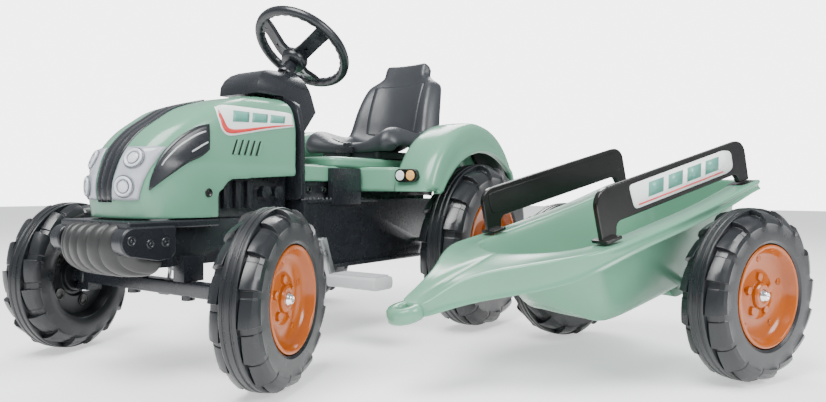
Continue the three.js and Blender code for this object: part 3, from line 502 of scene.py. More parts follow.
CAP_PROFILE = [(0.01, 20.4), (8.4, 20.4), (8.4, 21.6), (7, 22.4), (6.4, 25), (5, 26.6), (3.2, 27),
               (2.6, 25.4), (0.01, 25)]
# A circle to stand on, a radius, a height and a place along x.
BOSS, BUTTON = (24, 6.4, 4.6, 12.0), (48, 5.0, 1.6, 12.8)


def rim_bmesh():
    """The dish with its bosses and buttons, each made as a short cone that stands on the floor."""
    bm = turned(RIM_PROFILE, 72)
    for i in range(5):
        angle = math.tau * (i + 0.25) / 5
        for circle, size, rise, x in (BOSS, BUTTON):
            made = bmesh.ops.create_cone(bm, cap_ends=True, segments=20, radius1=size, radius2=size * 0.78,
                                         depth=rise)
            spot = Matrix.Translation((x + rise / 2, circle * math.cos(angle), circle * math.sin(angle)))
            bmesh.ops.transform(bm, matrix=spot @ Matrix.Rotation(math.pi / 2, 4, "Y"), verts=made["verts"])
    return bm


for label, (body, *_) in WHEELS.items():
    piece(f"{label}_dish", rim_bmesh(), wheel_place(label), body, ORANGE, [f"{label}_rim"], bevel=0.5)
    piece(f"{label}_cap", turned(CAP_PROFILE, 24), wheel_place(label), body, CHROME, [f"{label}_nut"])
print("wheels:", len(WHEELS), "with a rim radius of", max(r for r, _ in RIM_PROFILE))

# %% [markdown]
# The hood is one thin green moulding, open below and behind. Its skin is drawn as U-shaped sections stacked
# from the floor of the nose to the crown. Each section runs from the rear edge, along the side, round the
# nose and back. The nose line says how far forward a section reaches, and the side line how wide it is.

# %% Hood sections
def along(points, value):
    """The second coordinate of a smooth curve through (first, second) points, at a given first coordinate."""
    if value <= points[0][0]:
        return points[0][1]
    for i, (low, high) in enumerate(zip(points, points[1:])):
        if value <= high[0]:
            before, after = points[max(i - 1, 0)], points[min(i + 2, len(points) - 1)]
            t = (value - low[0]) / (high[0] - low[0])
            run = high[0] - low[0]
            m0 = (high[1] - before[1]) / max(high[0] - before[0], 1e-6) * run
            m1 = (after[1] - low[1]) / max(after[0] - low[0], 1e-6) * run
            return ((2 * t ** 3 - 3 * t ** 2 + 1) * low[1] + (t ** 3 - 2 * t ** 2 + t) * m0
                    + (3 * t ** 2 - 2 * t ** 3) * high[1] + (t ** 3 - t ** 2) * m1)
    return points[-1][1]


NOSE_LINE = [(211, -80), (234, -83), (255, -84), (275, -79), (295, -71), (311, -60), (330, -41), (345, -19),
             (362, 8), (373, 40), (384, 84), (393, 133)]
SIDE_LINE = [(211, 79.5), (280, 80), (286, 79), (300, 79.5), (330, 79.5), (345, 79), (358, 76.5), (373, 71),
             (384, 62), (393, 42)]
HOOD_REAR = 190
HOOD_TOP = 393
LEFT_RUN = 11  # the points of a section that its right side repeats


def hood_section(z):
    """Points of one horizontal section, from the left rear edge round the nose to the right rear edge."""
    nose, half = along(NOSE_LINE, z), along(SIDE_LINE, z)
    bend = nose + max(34, (HOOD_REAR - nose) * 0.42)
    ring = [(half, HOOD_REAR - (HOOD_REAR - bend) * i / 10, z) for i in range(10)]
    for i in range(1, 22):
        turn = math.pi * i / 22
        cx, sy = math.cos(turn), math.sin(turn)
        ring.append((half * math.copysign(abs(cx) ** 0.55, cx), bend - (bend - nose) * abs(sy) ** 0.62, z))
    ring.insert(10, (half, bend, z))
    return ring + [(-x, y, z) for x, y, z in reversed(ring[:LEFT_RUN])]


def crown(t):
    """The last sections close the top, falling in towards its middle line."""
    z = HOOD_TOP + 1.6 * math.sin(t * math.pi / 2)
    return [(x * (1 - t), y, z) for x, y, _ in hood_section(HOOD_TOP)]


LEVELS = [211, 214, 222, 234, 246, 255, 262, 270, 278, 283.5, 286, 289, 295, 303, 311, 321, 330, 338, 345,
          352, 358, 362, 367, 371, 376, 380, 384, 387, 390, HOOD_TOP]
ARCH_FRONT = 38
NOTCH_HALF, NOTCH_FRONT = 14, 146


def cut_across(bm, point, normal):
    """Add edges where a plane crosses the skin, so that the faces on its two sides can be told apart."""
    bmesh.ops.bisect_plane(bm, geom=bm.verts[:] + bm.edges[:] + bm.faces[:], dist=0.01, plane_co=point,
                           plane_no=normal)


hood_bm = sweep([hood_section(z) for z in LEVELS] + [crown(t) for t in (0.25, 0.5, 0.75, 1.0)])
HOOD_SKIN = BVHTree.FromBMesh(hood_bm)
bmesh.ops.remove_doubles(hood_bm, verts=hood_bm.verts, dist=0.05)
for cut_y in (ARCH_FRONT, 44, 52, 62):
    cut_across(hood_bm, (0, cut_y, 0), (0, 1, 0))


def arch_top(y):
    """The height of the engine arch's edge, which rises steeply and then runs back almost level."""
    if y < ARCH_FRONT:
        return 0
    return 240 + 24 * math.sin(min((y - ARCH_FRONT) / 26, 1) * math.pi / 2) + max(y - 64, 0) * 0.055


def is_cut_away(c):
    """True inside the notch that clears the steering shaft as the hood opens, and below the engine arch."""
    in_notch = abs(c.x) < NOTCH_HALF and c.y > NOTCH_FRONT and c.z > 380
    return in_notch or (abs(c.x) > 60 and c.y > ARCH_FRONT and c.z < arch_top(c.y))


for point, normal in (((NOTCH_HALF, 0, 0), (1, 0, 0)), ((-NOTCH_HALF, 0, 0), (1, 0, 0)),
                      ((0, NOTCH_FRONT, 0), (0, 1, 0))):
    cut_across(hood_bm, point, normal)
gone = [face for face in hood_bm.faces if is_cut_away(face.calc_center_median())]
bmesh.ops.delete(hood_bm, geom=gone, context="FACES")
for vert in hood_bm.verts:
    on_arch = vert.is_boundary and abs(vert.co.x) > 60 and 212 < vert.co.z < 275
    if on_arch and ARCH_FRONT + 0.5 < vert.co.y < HOOD_REAR - 0.5:
        vert.co.z = arch_top(vert.co.y)
print("hood sections:", len(LEVELS) + 4, "of", len(hood_section(300)), "points")

# %% [markdown]
# Everything fastened on the hood follows its skin: the strip over the nose, the lamp panels, the vents and
# the decals. Each is a small grid of rays cast onto that skin. The hits are joined row by row and given a
# thickness outwards, so no trim has to be fitted by hand.

# %% Patches on the hood
def onto_skin(start, way):
    """Where a ray meets the hood's skin from outside, and the skin's outward normal there."""
    hit, normal, _, _ = HOOD_SKIN.ray_cast(Vector(start), Vector(way))
    if hit is None:
        hit, normal, _, _ = HOOD_SKIN.find_nearest(Vector(start) + Vector(way) * 120)
    return hit, (normal if normal.dot(Vector(way)) < 0 else -normal)


def even_point(curve, t):
    """A point of a smooth (y, z) curve at a share t of its run, with its given points at even steps."""
    last = len(curve) - 1
    return Vector([along([(k / last, p[axis]) for k, p in enumerate(curve)], t) for axis in (0, 1)])


def side_patch(lower, upper, steps, across, side, lift, span=(0, 1), band=(0, 1)):
    """Rows of points on one flank between two curves, over a span of their run and a band between them."""
    rows = []
    for i in range(steps + 1):
        t = span[0] + (span[1] - span[0]) * i / steps
        low, high = even_point(lower, t), even_point(upper, t)
        row = []
        for j in range(across + 1):
            y, z = low.lerp(high, band[0] + (band[1] - band[0]) * j / across)
            hit, normal = onto_skin((200 * side, y, z), (-side, 0, 0))
            row.append(hit + normal * lift)
        rows.append(row)
    return rows


def stood_on(hit, normal):
    """The place of a turned part whose x axis follows the skin's normal."""
    turn = Vector((1, 0, 0)).rotation_difference(normal).to_matrix().to_4x4()
    return TRACTOR @ Matrix.Translation(hit) @ turn


def trim_piece(name, rows, finish, thickness, body="hood", replaces=(), bevel=0.0):
    """A patch with a thickness, whose faces are first turned to look outwards from the hood's middle."""
    bm = sweep(rows)
    bmesh.ops.remove_doubles(bm, verts=bm.verts, dist=0.02)
    bm.normal_update()
    total = sum((f.normal.dot(f.calc_center_median() - Vector((0, 60, 260))) for f in bm.faces))
    if total < 0:
        bmesh.ops.reverse_faces(bm, faces=bm.faces)
    return piece(name, bm, TRACTOR, body, finish, replaces, wall=thickness, offset=1, bevel=bevel, keep=True)


piece("hood_skin", hood_bm, TRACTOR, "hood", GREEN, ["hood_shell"], wall=4, subdivide=1)

STRIP_SECTION = ((-1, -0.3), (-0.93, 0.7), (-0.5, 0.9), (-0.46, 0.1), (-0.4, 0.1), (-0.36, 0.9), (0, 1.2),
                 (0.36, 0.9), (0.4, 0.1), (0.46, 0.1), (0.5, 0.9), (0.93, 0.7), (1, -0.3))
strip = []
for i in range(31):
    phi = math.radians(-3 + 99 * i / 30)
    wide = along([(0, 15), (0.35, 20), (0.7, 19.5), (0.88, 13), (1, 0.6)], i / 30)
    way = Vector((0, -math.cos(phi), math.sin(phi)))
    row = []
    for k, lift in STRIP_SECTION:
        hit, _, _, _ = HOOD_SKIN.ray_cast(Vector((k * wide, 60, 240)), way)
        row.append(hit + way * (lift + 0.1))
    strip.append(row)
trim_piece("nose_strip", strip, BLACK, 0.6, replaces=["grille_strip"])

LENS_PROFILE = [(0.01, 1), (12.5, 1), (13, 4.4), (11.4, 5.4), (10, 4.6), (9, 3.2), (6.5, 4.4), (3, 5.2),
                (0.01, 5.4)]
# A flat dark disc with a low rim, standing for the round hole in each hood side: painted shade for its inside.
HOLE_SHADE_PROFILE = [(0.01, -1), (5.5, -1), (6.2, 0.6), (5.2, 1.2), (4.4, 0.4), (0.01, 0.2)]
VENT_LOW = [(-62, 248), (-46, 262), (-28, 275), (-12, 285), (4, 292), (14, 298), (21, 304)]
VENT_HIGH = [(-62.5, 249), (-60, 264), (-50, 287), (-35, 307), (-16, 323), (4, 334), (22, 339)]
DECAL_LOW = [(37, 352), (42, 334), (54, 325.5), (80, 329), (115, 336), (150, 342), (184, 347)]
DECAL_HIGH = [(38, 364), (52, 368.5), (80, 369), (115, 369), (150, 369), (175, 368.5), (184.5, 367)]
LINE_LOW = [(39.5, 352), (44, 336), (55, 328.5), (80, 331.5), (115, 338.5), (150, 344.5), (182, 349)]
LINE_HIGH = [(41.5, 361), (49, 342), (58, 335), (80, 336.5), (115, 342), (150, 347), (182, 350)]
PANEL_ROWS, PANEL_COLUMNS = 18, 12


def lamp_panel(side):
    """The pale panel beside the nose strip. Its border and its middle line lie lower than the rest."""
    rows = []
    for i in range(PANEL_ROWS + 1):
        z = 235.5 + 69 * i / PANEL_ROWS
        far_edge = 57 + 12 * (i / PANEL_ROWS)
        near_edge = along([(235, 17.5), (270, 20.5), (305, 23)], z)
        row = []
        for j in range(PANEL_COLUMNS + 1):
            x = near_edge + (far_edge - near_edge) * j / PANEL_COLUMNS
            hit, normal = onto_skin((x * side, -300, z), (0, 1, 0))
            low = min(i, PANEL_ROWS - i, j, PANEL_COLUMNS - j) == 0 or i == PANEL_ROWS // 2
            row.append(hit + normal * (0.4 if low else 1.6))
        rows.append(row)
    return rows


def ring_profile(radius, thick, rise):
    return [(radius - thick, rise - 1), (radius + thick, rise - 1), (radius + thick, rise),
            (radius, rise + 0.9), (radius - thick, rise)]


for side, label in SIDES:
    trim_piece(f"headlight_panel_{label}", lamp_panel(side), LENS, 0.8, replaces=[f"headlight_{label}"])
    for z, x in ((289, 45), (253, 41)):
        spot = stood_on(*onto_skin((x * side, -300, z), (0, 1, 0)))
        piece(f"headlight_lamp_{label}_{z}", turned(LENS_PROFILE, 28), spot, "hood", GLASS)
        for radius, thick, rise in ((14.2, 0.9, 2.2), (8.2, 0.5, 4.3)):
            band = turned(ring_profile(radius, thick, rise), 32)
            piece(f"headlight_ring_{label}_{z}_{int(radius)}", band, spot, "hood", BEZEL)
    vent = side_patch(VENT_LOW, VENT_HIGH, 20, 8, side, 0.2)
    trim_piece(f"vent_panel_{label}", vent, BLACK, 1.6, replaces=[f"side_vent_{label}"])
    for k, (band, span) in enumerate((((0.72, 0.78), (0.3, 0.93)), ((0.30, 0.36), (0.62, 0.95)))):
        line = side_patch(VENT_LOW, VENT_HIGH, 14, 1, side, 1.9, span, band)
        trim_piece(f"vent_line_{label}_{k}", line, PALE, 0.5)
    trim_piece(f"hood_decal_{label}", side_patch(DECAL_LOW, DECAL_HIGH, 24, 5, side, 0.35), WHITE, 0.3)
    trim_piece(f"hood_decal_line_{label}", side_patch(LINE_LOW, LINE_HIGH, 24, 2, side, 0.7), RED, 0.3)
    for k in range(3):
        y = 62 + k * 36
        bar_low = [(y, 345.5 + k * 2), (y + 15, 346.3 + k * 2), (y + 30, 347 + k * 2)]
        bar_high = [(y + 4, 362), (y + 19, 362), (y + 34, 362)]
        trim_piece(f"hood_decal_bar_{label}_{k}", side_patch(bar_low, bar_high, 5, 2, side, 0.7), TEAL, 0.25)
    for k in range(5):
        # The dark strip in each louvre's slot, beside its raised green lip, is painted shade.
        y = 60 + 11 * k
        slot_low = [(y, 299), (y + 1.6, 299), (y + 3.2, 299)]
        slot_high = [(y + 8, 320.5), (y + 9.6, 321), (y + 11.2, 321)]
        trim_piece(f"louvre_slot_shade_{label}_{k}", side_patch(slot_low, slot_high, 3, 6, side, 0.05), SHEET, 0.25)
        lip_low = [(y + 3.2, 299), (y + 5.4, 299.2), (y + 7.6, 299.6)]
        lip_high = [(y + 11.2, 321), (y + 12.8, 320.6), (y + 14.2, 320)]
        trim_piece(f"louvre_lip_{label}_{k}", side_patch(lip_low, lip_high, 3, 6, side, -0.2), GREEN, 2.4,
                   bevel=0.7)
    # The dark disc low on each side is painted shade for the round hole there.
    spot = stood_on(*onto_skin((200 * side, 20, 245), (-side, 0, 0)))
    piece(f"hood_hole_shade_{label}", turned(HOLE_SHADE_PROFILE, 20), spot, "hood", SHEET)
print("hood trims are in place on both sides")

# %% [markdown]
# The weight block under the nose has eight rounded ribs that bow forward in the middle and curl underneath.
# It is one skin: a side profile is repeated across the width, pushed in at every groove. Cheeks with ringed
# bosses close it.

# %% Nose weights
NOSE_PROFILE = [(-50, 209), (-80, 209.5), (-100, 208), (-111, 203), (-118, 194), (-121, 182), (-120.5, 168),
                (-115, 155), (-105, 145), (-90, 138), (-70, 134.5), (-50, 134)]
RIBS = 8
COLUMNS_PER_RIB = 8
WEIGHT_HALF = 78
WEIGHT_BACK = -50


def weight_column(i):
    """One upright line of the skin: it reaches furthest in the middle and is pushed in at every groove."""
    x = -WEIGHT_HALF + 2 * WEIGHT_HALF * i / (RIBS * COLUMNS_PER_RIB)
    share = x / WEIGHT_HALF
    reach = 0.93 + 0.12 * math.cos(share * math.pi / 2) - 0.33 * abs(share) ** 3.2
    groove = 6.5 * (1 - abs(math.sin(math.pi * i / COLUMNS_PER_RIB)) ** 0.25)
    last = len(NOSE_PROFILE) - 1
    column = []
    for k, (y, z) in enumerate(NOSE_PROFILE):
        z += max(178 - z, 0) * 0.5 * abs(share) ** 5
        inward = groove * min(k, last - k, 3) / 3
        a, b = NOSE_PROFILE[max(k - 1, 0)], NOSE_PROFILE[min(k + 1, last)]
        run = Vector((b[0] - a[0], b[1] - a[1])).normalized()
        column.append((x, WEIGHT_BACK + (y - WEIGHT_BACK) * reach - run.y * inward, z + run.x * inward))
    return column


weight_bm = sweep([weight_column(i) for i in range(RIBS * COLUMNS_PER_RIB + 1)])
piece("ribbed_weights", weight_bm, TRACTOR, "chassis", RIB_GREY, ["front_weights"], wall=2, subdivide=1)

CHEEK = arc(-94, 184, 19, 90, 250, 12) + [(-60, 158), (-40, 160), (-34, 168), (-34, 203)]
for side, label in SIDES:
    cheek = plate(CHEEK, "yz", 60 * side, 83 * side)
    piece(f"weight_cheek_{label}", cheek, TRACTOR, "chassis", BLACK, bevel=3)
    for y, z, size in ((-98, 186, 6.4), (-72, 181, 6), (-50, 182, 6.4)):
        ring = turned([(0.01, -2), (size, -2), (size, 1.6), (size - 1.4, 2.4), (size - 2.6, 1.2), (2.4, 0.6),
                       (1.8, 1.6), (0.01, 1.8)], 20)
        outwards = Matrix.Identity(4) if side > 0 else Matrix.Rotation(math.pi, 4, "Z")
        spot = TRACTOR @ Matrix.Translation((82 * side, y, z)) @ outwards
        piece(f"weight_boss_{label}_{int(-y)}", ring, spot, "chassis", BLACK)
shelf = plate([(-78, -100), (78, -100), (80, -40), (80, 40), (-80, 40), (-80, -40)], "xy", 199, 209.5)
piece("weight_shelf", shelf, TRACTOR, "chassis", BLACK, bevel=3)
print("weights have", RIBS, "ribs")

# %% [markdown]
# The steering wheel is one moulding on the splined end of the shaft. Its ring is spun from a slightly oval
# section with a row of finger waves, and its three spokes are tapered plates, each with a long slot.

# %% Steering wheel
turn_axis = Vector(JOINTS["steering_turn"]["axis"]).normalized()
turn_axis *= 1 if turn_axis.z > 0 else -1
shaft_top = TRACTOR @ Vector((0, 284, 496))
STEER = axes_matrix(shaft_top, (1, 0, 0), turn_axis)
RING, TUBE = 80.5, 8.6
turns = [math.tau * i / 14 for i in range(14)]
wheel_bm = spun([(RING + TUBE * math.cos(a) * 0.95, TUBE * math.sin(a)) for a in turns], 120, closed=True)
for v in wheel_bm.verts:
    a = math.atan2(v.co.y, v.co.x)
    radius = math.hypot(v.co.x, v.co.y)
    if radius < RING - 2 and v.co.z < 4:
        wave = 1 + 0.012 * math.sin(a * 30)
        v.co.x *= wave
        v.co.y *= wave
piece("steering_ring", wheel_bm, STEER, "steering", BLACK, ["steering_wheel"])
REST_TURN = math.radians(19)
SPOKE_RISE = [(12, -27), (26, -25), (42, -16), (58, -7), (68, -2.5), (78, 0)]


def signed_power(value, power):
    """A number's size raised to a power, with its sign kept, which squares a circle up."""
    return math.copysign(abs(value) ** power, value)


for k, way in enumerate((-141, -39, 90)):
    turn = Matrix.Rotation(math.radians(way) + REST_TURN, 4, "Z")
    outer, hole = [], []
    for i in range(24):
        a = math.tau * (i + 0.5) / 24
        cx, sy = math.cos(a), math.sin(a)
        r = 45 + 34 * signed_power(cx, 0.4)
        half = 15 - 3 * math.sin((r - 11) / 68 * math.pi)
        outer.append((r, half * signed_power(sy, 0.3), along(SPOKE_RISE, r)))
        r = 49 + 13 * signed_power(cx, 0.7)
        hole.append((r, 5.2 * signed_power(sy, 0.7), along(SPOKE_RISE, r)))
    spoke = bmesh.new()
    _, outer_edges = chain(spoke, outer, True)
    _, hole_edges = chain(spoke, hole, True)
    bmesh.ops.bridge_loops(spoke, edges=outer_edges + hole_edges)
    piece(f"steering_spoke_{k}", spoke, STEER @ turn, "steering", BLACK, wall=7.5, offset=0, bevel=1)
hub = spun([(0.01, -40), (19, -40), (22, -34), (23, -26), (21, -21), (16, -19), (0.01, -18.5)], 36)
piece("steering_hub", hub, STEER, "steering", BLACK)
horn = spun([(0.01, -19.5), (10.5, -19.5), (11, -17), (9.5, -15), (0.01, -14.2)], 32)
piece("horn_cap", horn, STEER, "horn", RED, ["horn_button"])
print("steering ring of radius", RING)

# %% [markdown]
# The saddle is green too: a tunnel over the steering shaft, a deck with a raised middle, and two fenders.
# Each fender is a section turned about the middle of its crown. Its outer wall reaches down to the wheel
# arch, a second and larger circle that is set lower and further back, so the wall is deepest over the top and
# thins out towards the back.

# %% Saddle and fenders
def rounded_plate(outline, low, high, soft, name, finish, body="chassis", replaces=()):
    """A level plate between two heights, on the tractor, with softened edges."""
    return piece(name, plate(outline, "xy", low, high), TRACTOR, body, finish, replaces, bevel=soft)


def round_corners(points, radius, steps=5):
    """Replace each corner of an outline by a short curve between the points a radius away from it."""
    out = []
    for i, p in enumerate(points):
        p, a, b = Vector(p), Vector(points[i - 1]), Vector(points[(i + 1) % len(points)])
        start = p + (a - p).normalized() * min(radius, (a - p).length / 2)
        stop = p + (b - p).normalized() * min(radius, (b - p).length / 2)
        for k in range(steps + 1):
            t = k / steps
            out.append(tuple(start.lerp(p, t).lerp(p.lerp(stop, t), t)))
    return out


tunnel = round_corners([(-80, 206.5), (80, 206.5), (80, 352), (-80, 352)], 5)
deck = round_corners([(-152, 352), (-80, 338), (80, 338), (152, 352), (152, 645), (-152, 645)], 14)
hump = round_corners([(-85, 275), (85, 275), (85, 620), (-85, 620)], 26)
top_panel = round_corners([(-60, 222), (60, 222), (60, 268), (-60, 268)], 10)
rounded_plate(tunnel, 263, 289, 5, "saddle_tunnel", GREEN, replaces=["saddle_body"])
rounded_plate(deck, 247, 289, 6, "saddle_deck", GREEN)
rounded_plate(hump, 286, 306, 7, "saddle_hump", GREEN)
rounded_plate(top_panel, 288, 291.5, 1.5, "tunnel_panel", GREEN)

# The two circles, each as its middle's y and z and its radius.
CROWN = (506, 207, 161)
ARCH = (527, 143, 179)


def arch_reach(theta):
    """How far the wheel arch's circle is from the crown's centre, along a ray at that angle."""
    way = Vector((-math.cos(theta), math.sin(theta)))
    gap = Vector((CROWN[0] - ARCH[0], CROWN[1] - ARCH[1]))
    b = way.dot(gap)
    return -b + math.sqrt(max(b * b - gap.dot(gap) + ARCH[2] ** 2, 0))


SKIRT_LINE = 247
FENDER_STEPS = 44
HIGHLIGHT_STEPS = 14
SMALL_LENS_PROFILE = [(0.01, -2), (8.4, -2), (8.4, 0.6), (7, 1.6), (5.6, 0.8), (3, 1.8), (0.01, 2.2)]


def on_crown(theta, radius):
    """The (y, z) of a point at an angle and a radius from the middle of the crown."""
    return CROWN[0] - radius * math.cos(theta), CROWN[1] + radius * math.sin(theta)


def fender_section(theta, side):
    """From the inner wall over the crown and down the outer wall to its rolled edge on the wheel arch."""
    edge = min(arch_reach(theta), CROWN[2] - 9)
    ring = []
    for x, r in ((150, 96), (150, 140), (150.5, 152), (153, 158.5), (159, 161), (172, 162), (188, 162.4),
                 (203, 162), (215, 161), (221.5, 158), (224.5, 152.5), (225, (152 + edge) / 2),
                 (225.5, edge + 4), (227.2, edge + 1.5), (227, edge), (223, edge - 0.5), (219, edge + 1)):
        y, z = on_crown(theta, max(r, edge - 0.5) if x > 220 else r)
        ring.append((x * side, y, max(z, SKIRT_LINE)))
    return ring


# A thin black sheet just under each crown: painted shade for the underside of the green fender over the wheel.
def shade_sheet_section(theta, side):
    return [(x * side, *on_crown(theta, r)) for x, r in ((219, 146), (214, 153), (160, 153.5), (154, 151))]


def highlight_section(share, side):
    """One row of the long oval highlight painted on the crown: its middle drifts outwards and its ends are
    round.
    """
    mid = 196 + 10 * math.sin(share * math.pi / 2)
    half = 9 * math.sin((share * HIGHLIGHT_STEPS + 0.4) / 14.8 * math.pi) ** 0.5
    return [((mid + half * k) * side, *on_crown(math.radians(20 + 30 * share), 162.9)) for k in (-1, 0, 1)]


for side, label in SIDES:
    thetas = [math.radians(9 + 147 * i / FENDER_STEPS) for i in range(FENDER_STEPS + 1)]
    fender = sweep([fender_section(theta, side) for theta in thetas])
    piece(f"fender_{label}", fender, TRACTOR, "chassis", GREEN, wall=3.5, offset=-side, keep=True, even=False)
    # The black sheet under the crown is painted shade beneath the fender.
    thetas = [math.radians(13 + 142 * i / FENDER_STEPS) for i in range(FENDER_STEPS + 1)]
    shade_sheet = sweep([shade_sheet_section(theta, side) for theta in thetas])
    piece(f"fender_shade_sheet_{label}", shade_sheet, TRACTOR, "chassis", SHEET, wall=1.5, offset=0)
    outline = round_corners([(355, 247), (392, 247), (392, 290), (372, 288), (357, 276)], 6)
    wing = plate(outline, "yz", 146 * side, 221 * side)
    piece(f"fender_wing_{label}", wing, TRACTOR, "chassis", GREEN, bevel=3)
    bezel = plate(round_corners([(157, 263), (203, 263), (203, 285), (157, 285)], 11, 8), "xz", 343, 352)
    piece(f"lamp_bezel_{label}", bezel, TRACTOR @ to_side(side), "chassis", SHEET, [f"fender_lamp_{label}"],
          bevel=1.5)
    # A long pale oval along each fender's crown is a painted highlight.
    thin_overlay = sweep([highlight_section(i / HIGHLIGHT_STEPS, side) for i in range(HIGHLIGHT_STEPS + 1)])
    piece(f"fender_painted_highlight_{label}", thin_overlay, TRACTOR, "chassis", HIGHLIGHT_GREEN, wall=0.3, offset=0)
    facing = Matrix.Rotation(-math.pi / 2, 4, "Z")
    for x, finish in ((169, WHITE), (190, AMBER)):
        spot = TRACTOR @ Matrix.Translation((x * side, 342.5, 274)) @ facing
        piece(f"fender_lens_{label}_{x}", turned(SMALL_LENS_PROFILE, 24), spot, "chassis", finish)
print("each fender is turned through 147 degrees in", FENDER_STEPS, "steps")

# %% [markdown]
# The seat is a single tough moulding. It starts as a strip of cross-sections that runs from the front lip,
# along the pan and up the back. At every station the edges rise into bolsters, and the shoulders narrow to a
# headrest.

# %% Seat
SEAT_LINE = [(0, 404, 318), (0.06, 406, 333), (0.16, 424, 338), (0.30, 462, 331), (0.42, 500, 328),
             (0.52, 530, 333), (0.60, 550, 352), (0.70, 564, 396), (0.80, 577, 440), (0.88, 588, 476),
             (0.94, 595, 500), (0.98, 600, 513), (1.0, 604, 514)]
SEAT_HALF = [(0, 104), (0.06, 113), (0.3, 117), (0.5, 117), (0.6, 113), (0.7, 107), (0.8, 100), (0.862, 93),
             (0.88, 88), (0.893, 62), (0.93, 60), (1, 58)]
BOLSTER = [(0, 6), (0.05, 16), (0.14, 28), (0.26, 34), (0.42, 34), (0.52, 32), (0.62, 30), (0.75, 26),
           (0.85, 14), (0.88, 5), (1, 2)]
STATIONS = 44
EDGE = 0.82


def seat_point(t):
    """The (y, z) of the seat's middle line at a share t of its run."""
    return Vector([along([(s[0], s[axis]) for s in SEAT_LINE], t) for axis in (1, 2)])


def seat_up(start, stop):
    """The direction square to the middle line, towards the rider, judged between two shares of its run."""
    run = (seat_point(stop) - seat_point(start)).normalized()
    return Vector((-run.y, run.x))


def bolster(u):
    """The rise at a share u of the half width: none in the middle, full at EDGE, then falling again."""
    if abs(u) > EDGE:
        return math.cos((abs(u) - EDGE) / (1 - EDGE) * 1.25)
    return math.sin((abs(u) / EDGE) ** 2.6 * math.pi / 2)


def seat_section(t):
    spot, up = seat_point(t), seat_up(max(t - 0.02, 0), min(t + 0.02, 1))
    half, lift = along(SEAT_HALF, t), along(BOLSTER, t)
    ring = []
    for k in range(-10, 11):
        u = k / 10
        rise = lift * bolster(u) - 16 * max(abs(u) - 0.86, 0) / 0.14
        ring.append((half * u, spot.x + up.x * rise, spot.y + up.y * rise))
    return ring


def panel_rows(start, stop, half):
    """A finely ribbed panel that lies on the seat: every other row stands out a little more."""
    rows = []
    for i in range(33):
        t = start + (stop - start) * i / 32
        spot, up = seat_point(t), seat_up(t, t + 0.02)
        row = []
        for k in range(-8, 9):
            x = half * k / 8
            inside = 0 < i < 32 and abs(k) < 8
            ribbing = (1.7 if i % 2 else 0.8) if inside else 0.1
            lift = along(BOLSTER, t) * bolster(x / along(SEAT_HALF, t)) + ribbing
            row.append((x, spot.x + up.x * lift, spot.y + up.y * lift))
        rows.append(row)
    return rows


seat_bm = sweep([seat_section(i / STATIONS) for i in range(STATIONS + 1)])
seat_bm.normal_update()
if sum(f.normal.z for f in seat_bm.faces if f.calc_center_median().y < 520) < 0:
    bmesh.ops.reverse_faces(seat_bm, faces=seat_bm.faces)
piece("seat_bucket", seat_bm, TRACTOR, "seat", SEAT, ["seat_shell"], wall=9, subdivide=1, keep=True)
trim_piece("seat_pan_panel", panel_rows(0.17, 0.5, 58), SEAT, 0.6, body="seat")
trim_piece("seat_back_panel", panel_rows(0.62, 0.86, 62), SEAT, 0.6, body="seat")
base = round_corners([(-70, 410), (70, 410), (78, 560), (-78, 560)], 14)
rounded_plate(base, 306.5, 322, 3, "seat_foot", SEAT, body="seat")
print("seat stations:", STATIONS + 1)

# %% [markdown]
# The trailer tub is a single pressing with a deep bowl, a broad flange and a skirt all round, and its nose
# runs on into the drawbar. Half of it is one loft: at each station a section climbs the skirt, goes over the
# lip, crosses the flange and drops down the wall to the middle of the floor. A mirror makes the other half.

# %% Trailer tub
RIM_TOP = [(-450, 100), (-400, 105.5), (-345, 121), (-262, 124), (-212, 120), (-140, 118), (0, 119),
           (60, 123), (118, 126), (150, 118), (165, 104)]
SKIRT_FOOT = [(-450, 88), (-342, 87), (-277, 90), (-200, 98), (-142, 101), (0, 103), (60, 108), (120, 112),
              (165, 95)]
# Each station: the rim's outer edge, the bowl's top edge and its floor edge in plan, and the floor's height.
TUB_STATIONS = [
    ((0, 158), (0, 136), (0, 112), 0), ((48, 157), (40, 136), (24, 112), 0),
    ((88, 152), (74, 133), (44, 110), 0), ((114, 141), (91, 125), (55, 103), 0),
    ((127, 123), (98, 109), (60, 90), 0), ((130, 98), (99, 86), (61, 70), 0),
    ((131, 60), (100, 54), (62, 46), 0), ((131, 20), (100, 18), (62, 16), 0),
    ((131, -20), (100, -20), (62, -16), 0), ((131, -60), (100, -58), (62, -48), 0),
    ((131, -100), (100, -96), (62, -82), 0), ((131, -145), (100, -138), (62, -116), 0),
    ((131, -190), (99, -178), (60, -146), 0), ((129, -225), (93, -208), (56, -166), 3),
    ((116, -257), (80, -232), (47, -182), 14), ((92, -287), (60, -248), (35, -196), 26),
    ((64, -314), (38, -257), (22, -205), 33), ((42, -338), (20, -261), (12, -210), 37),
    ((30, -362), (8, -263), (5, -212), 38), ((25, -384), (3, -263.5), (2, -212), 38),
    ((22, -404), (0.8, -264), (0.5, -212), 38), ((11, -408), (0.3, -264), (0.2, -212), 38),
    ((0, -409), (0, -264), (0, -212), 38)]
BOWL_STEPS = ((0.06, 0.05), (0.16, 0.18), (0.45, 0.5), (0.72, 0.8), (0.84, 0.93), (0.95, 0.985), (1.12, 1.0))


def rim_way_out(i):
    """The plan direction out of the tub, square to the rim at a station."""
    last = len(TUB_STATIONS) - 1
    if i in (0, last):
        return Vector((0, 1 if i == 0 else -1))
    run = (Vector(TUB_STATIONS[i + 1][0]) - Vector(TUB_STATIONS[i - 1][0])).normalized()
    return Vector((-run.y, run.x))


def drawbar_groove(plan):
    """The depth of the shallow groove along the middle of the drawbar."""
    return 5 * math.exp(-(plan.x / 8) ** 2) * max(0, 1 - abs(plan.y + 335) / 52) ** 0.5


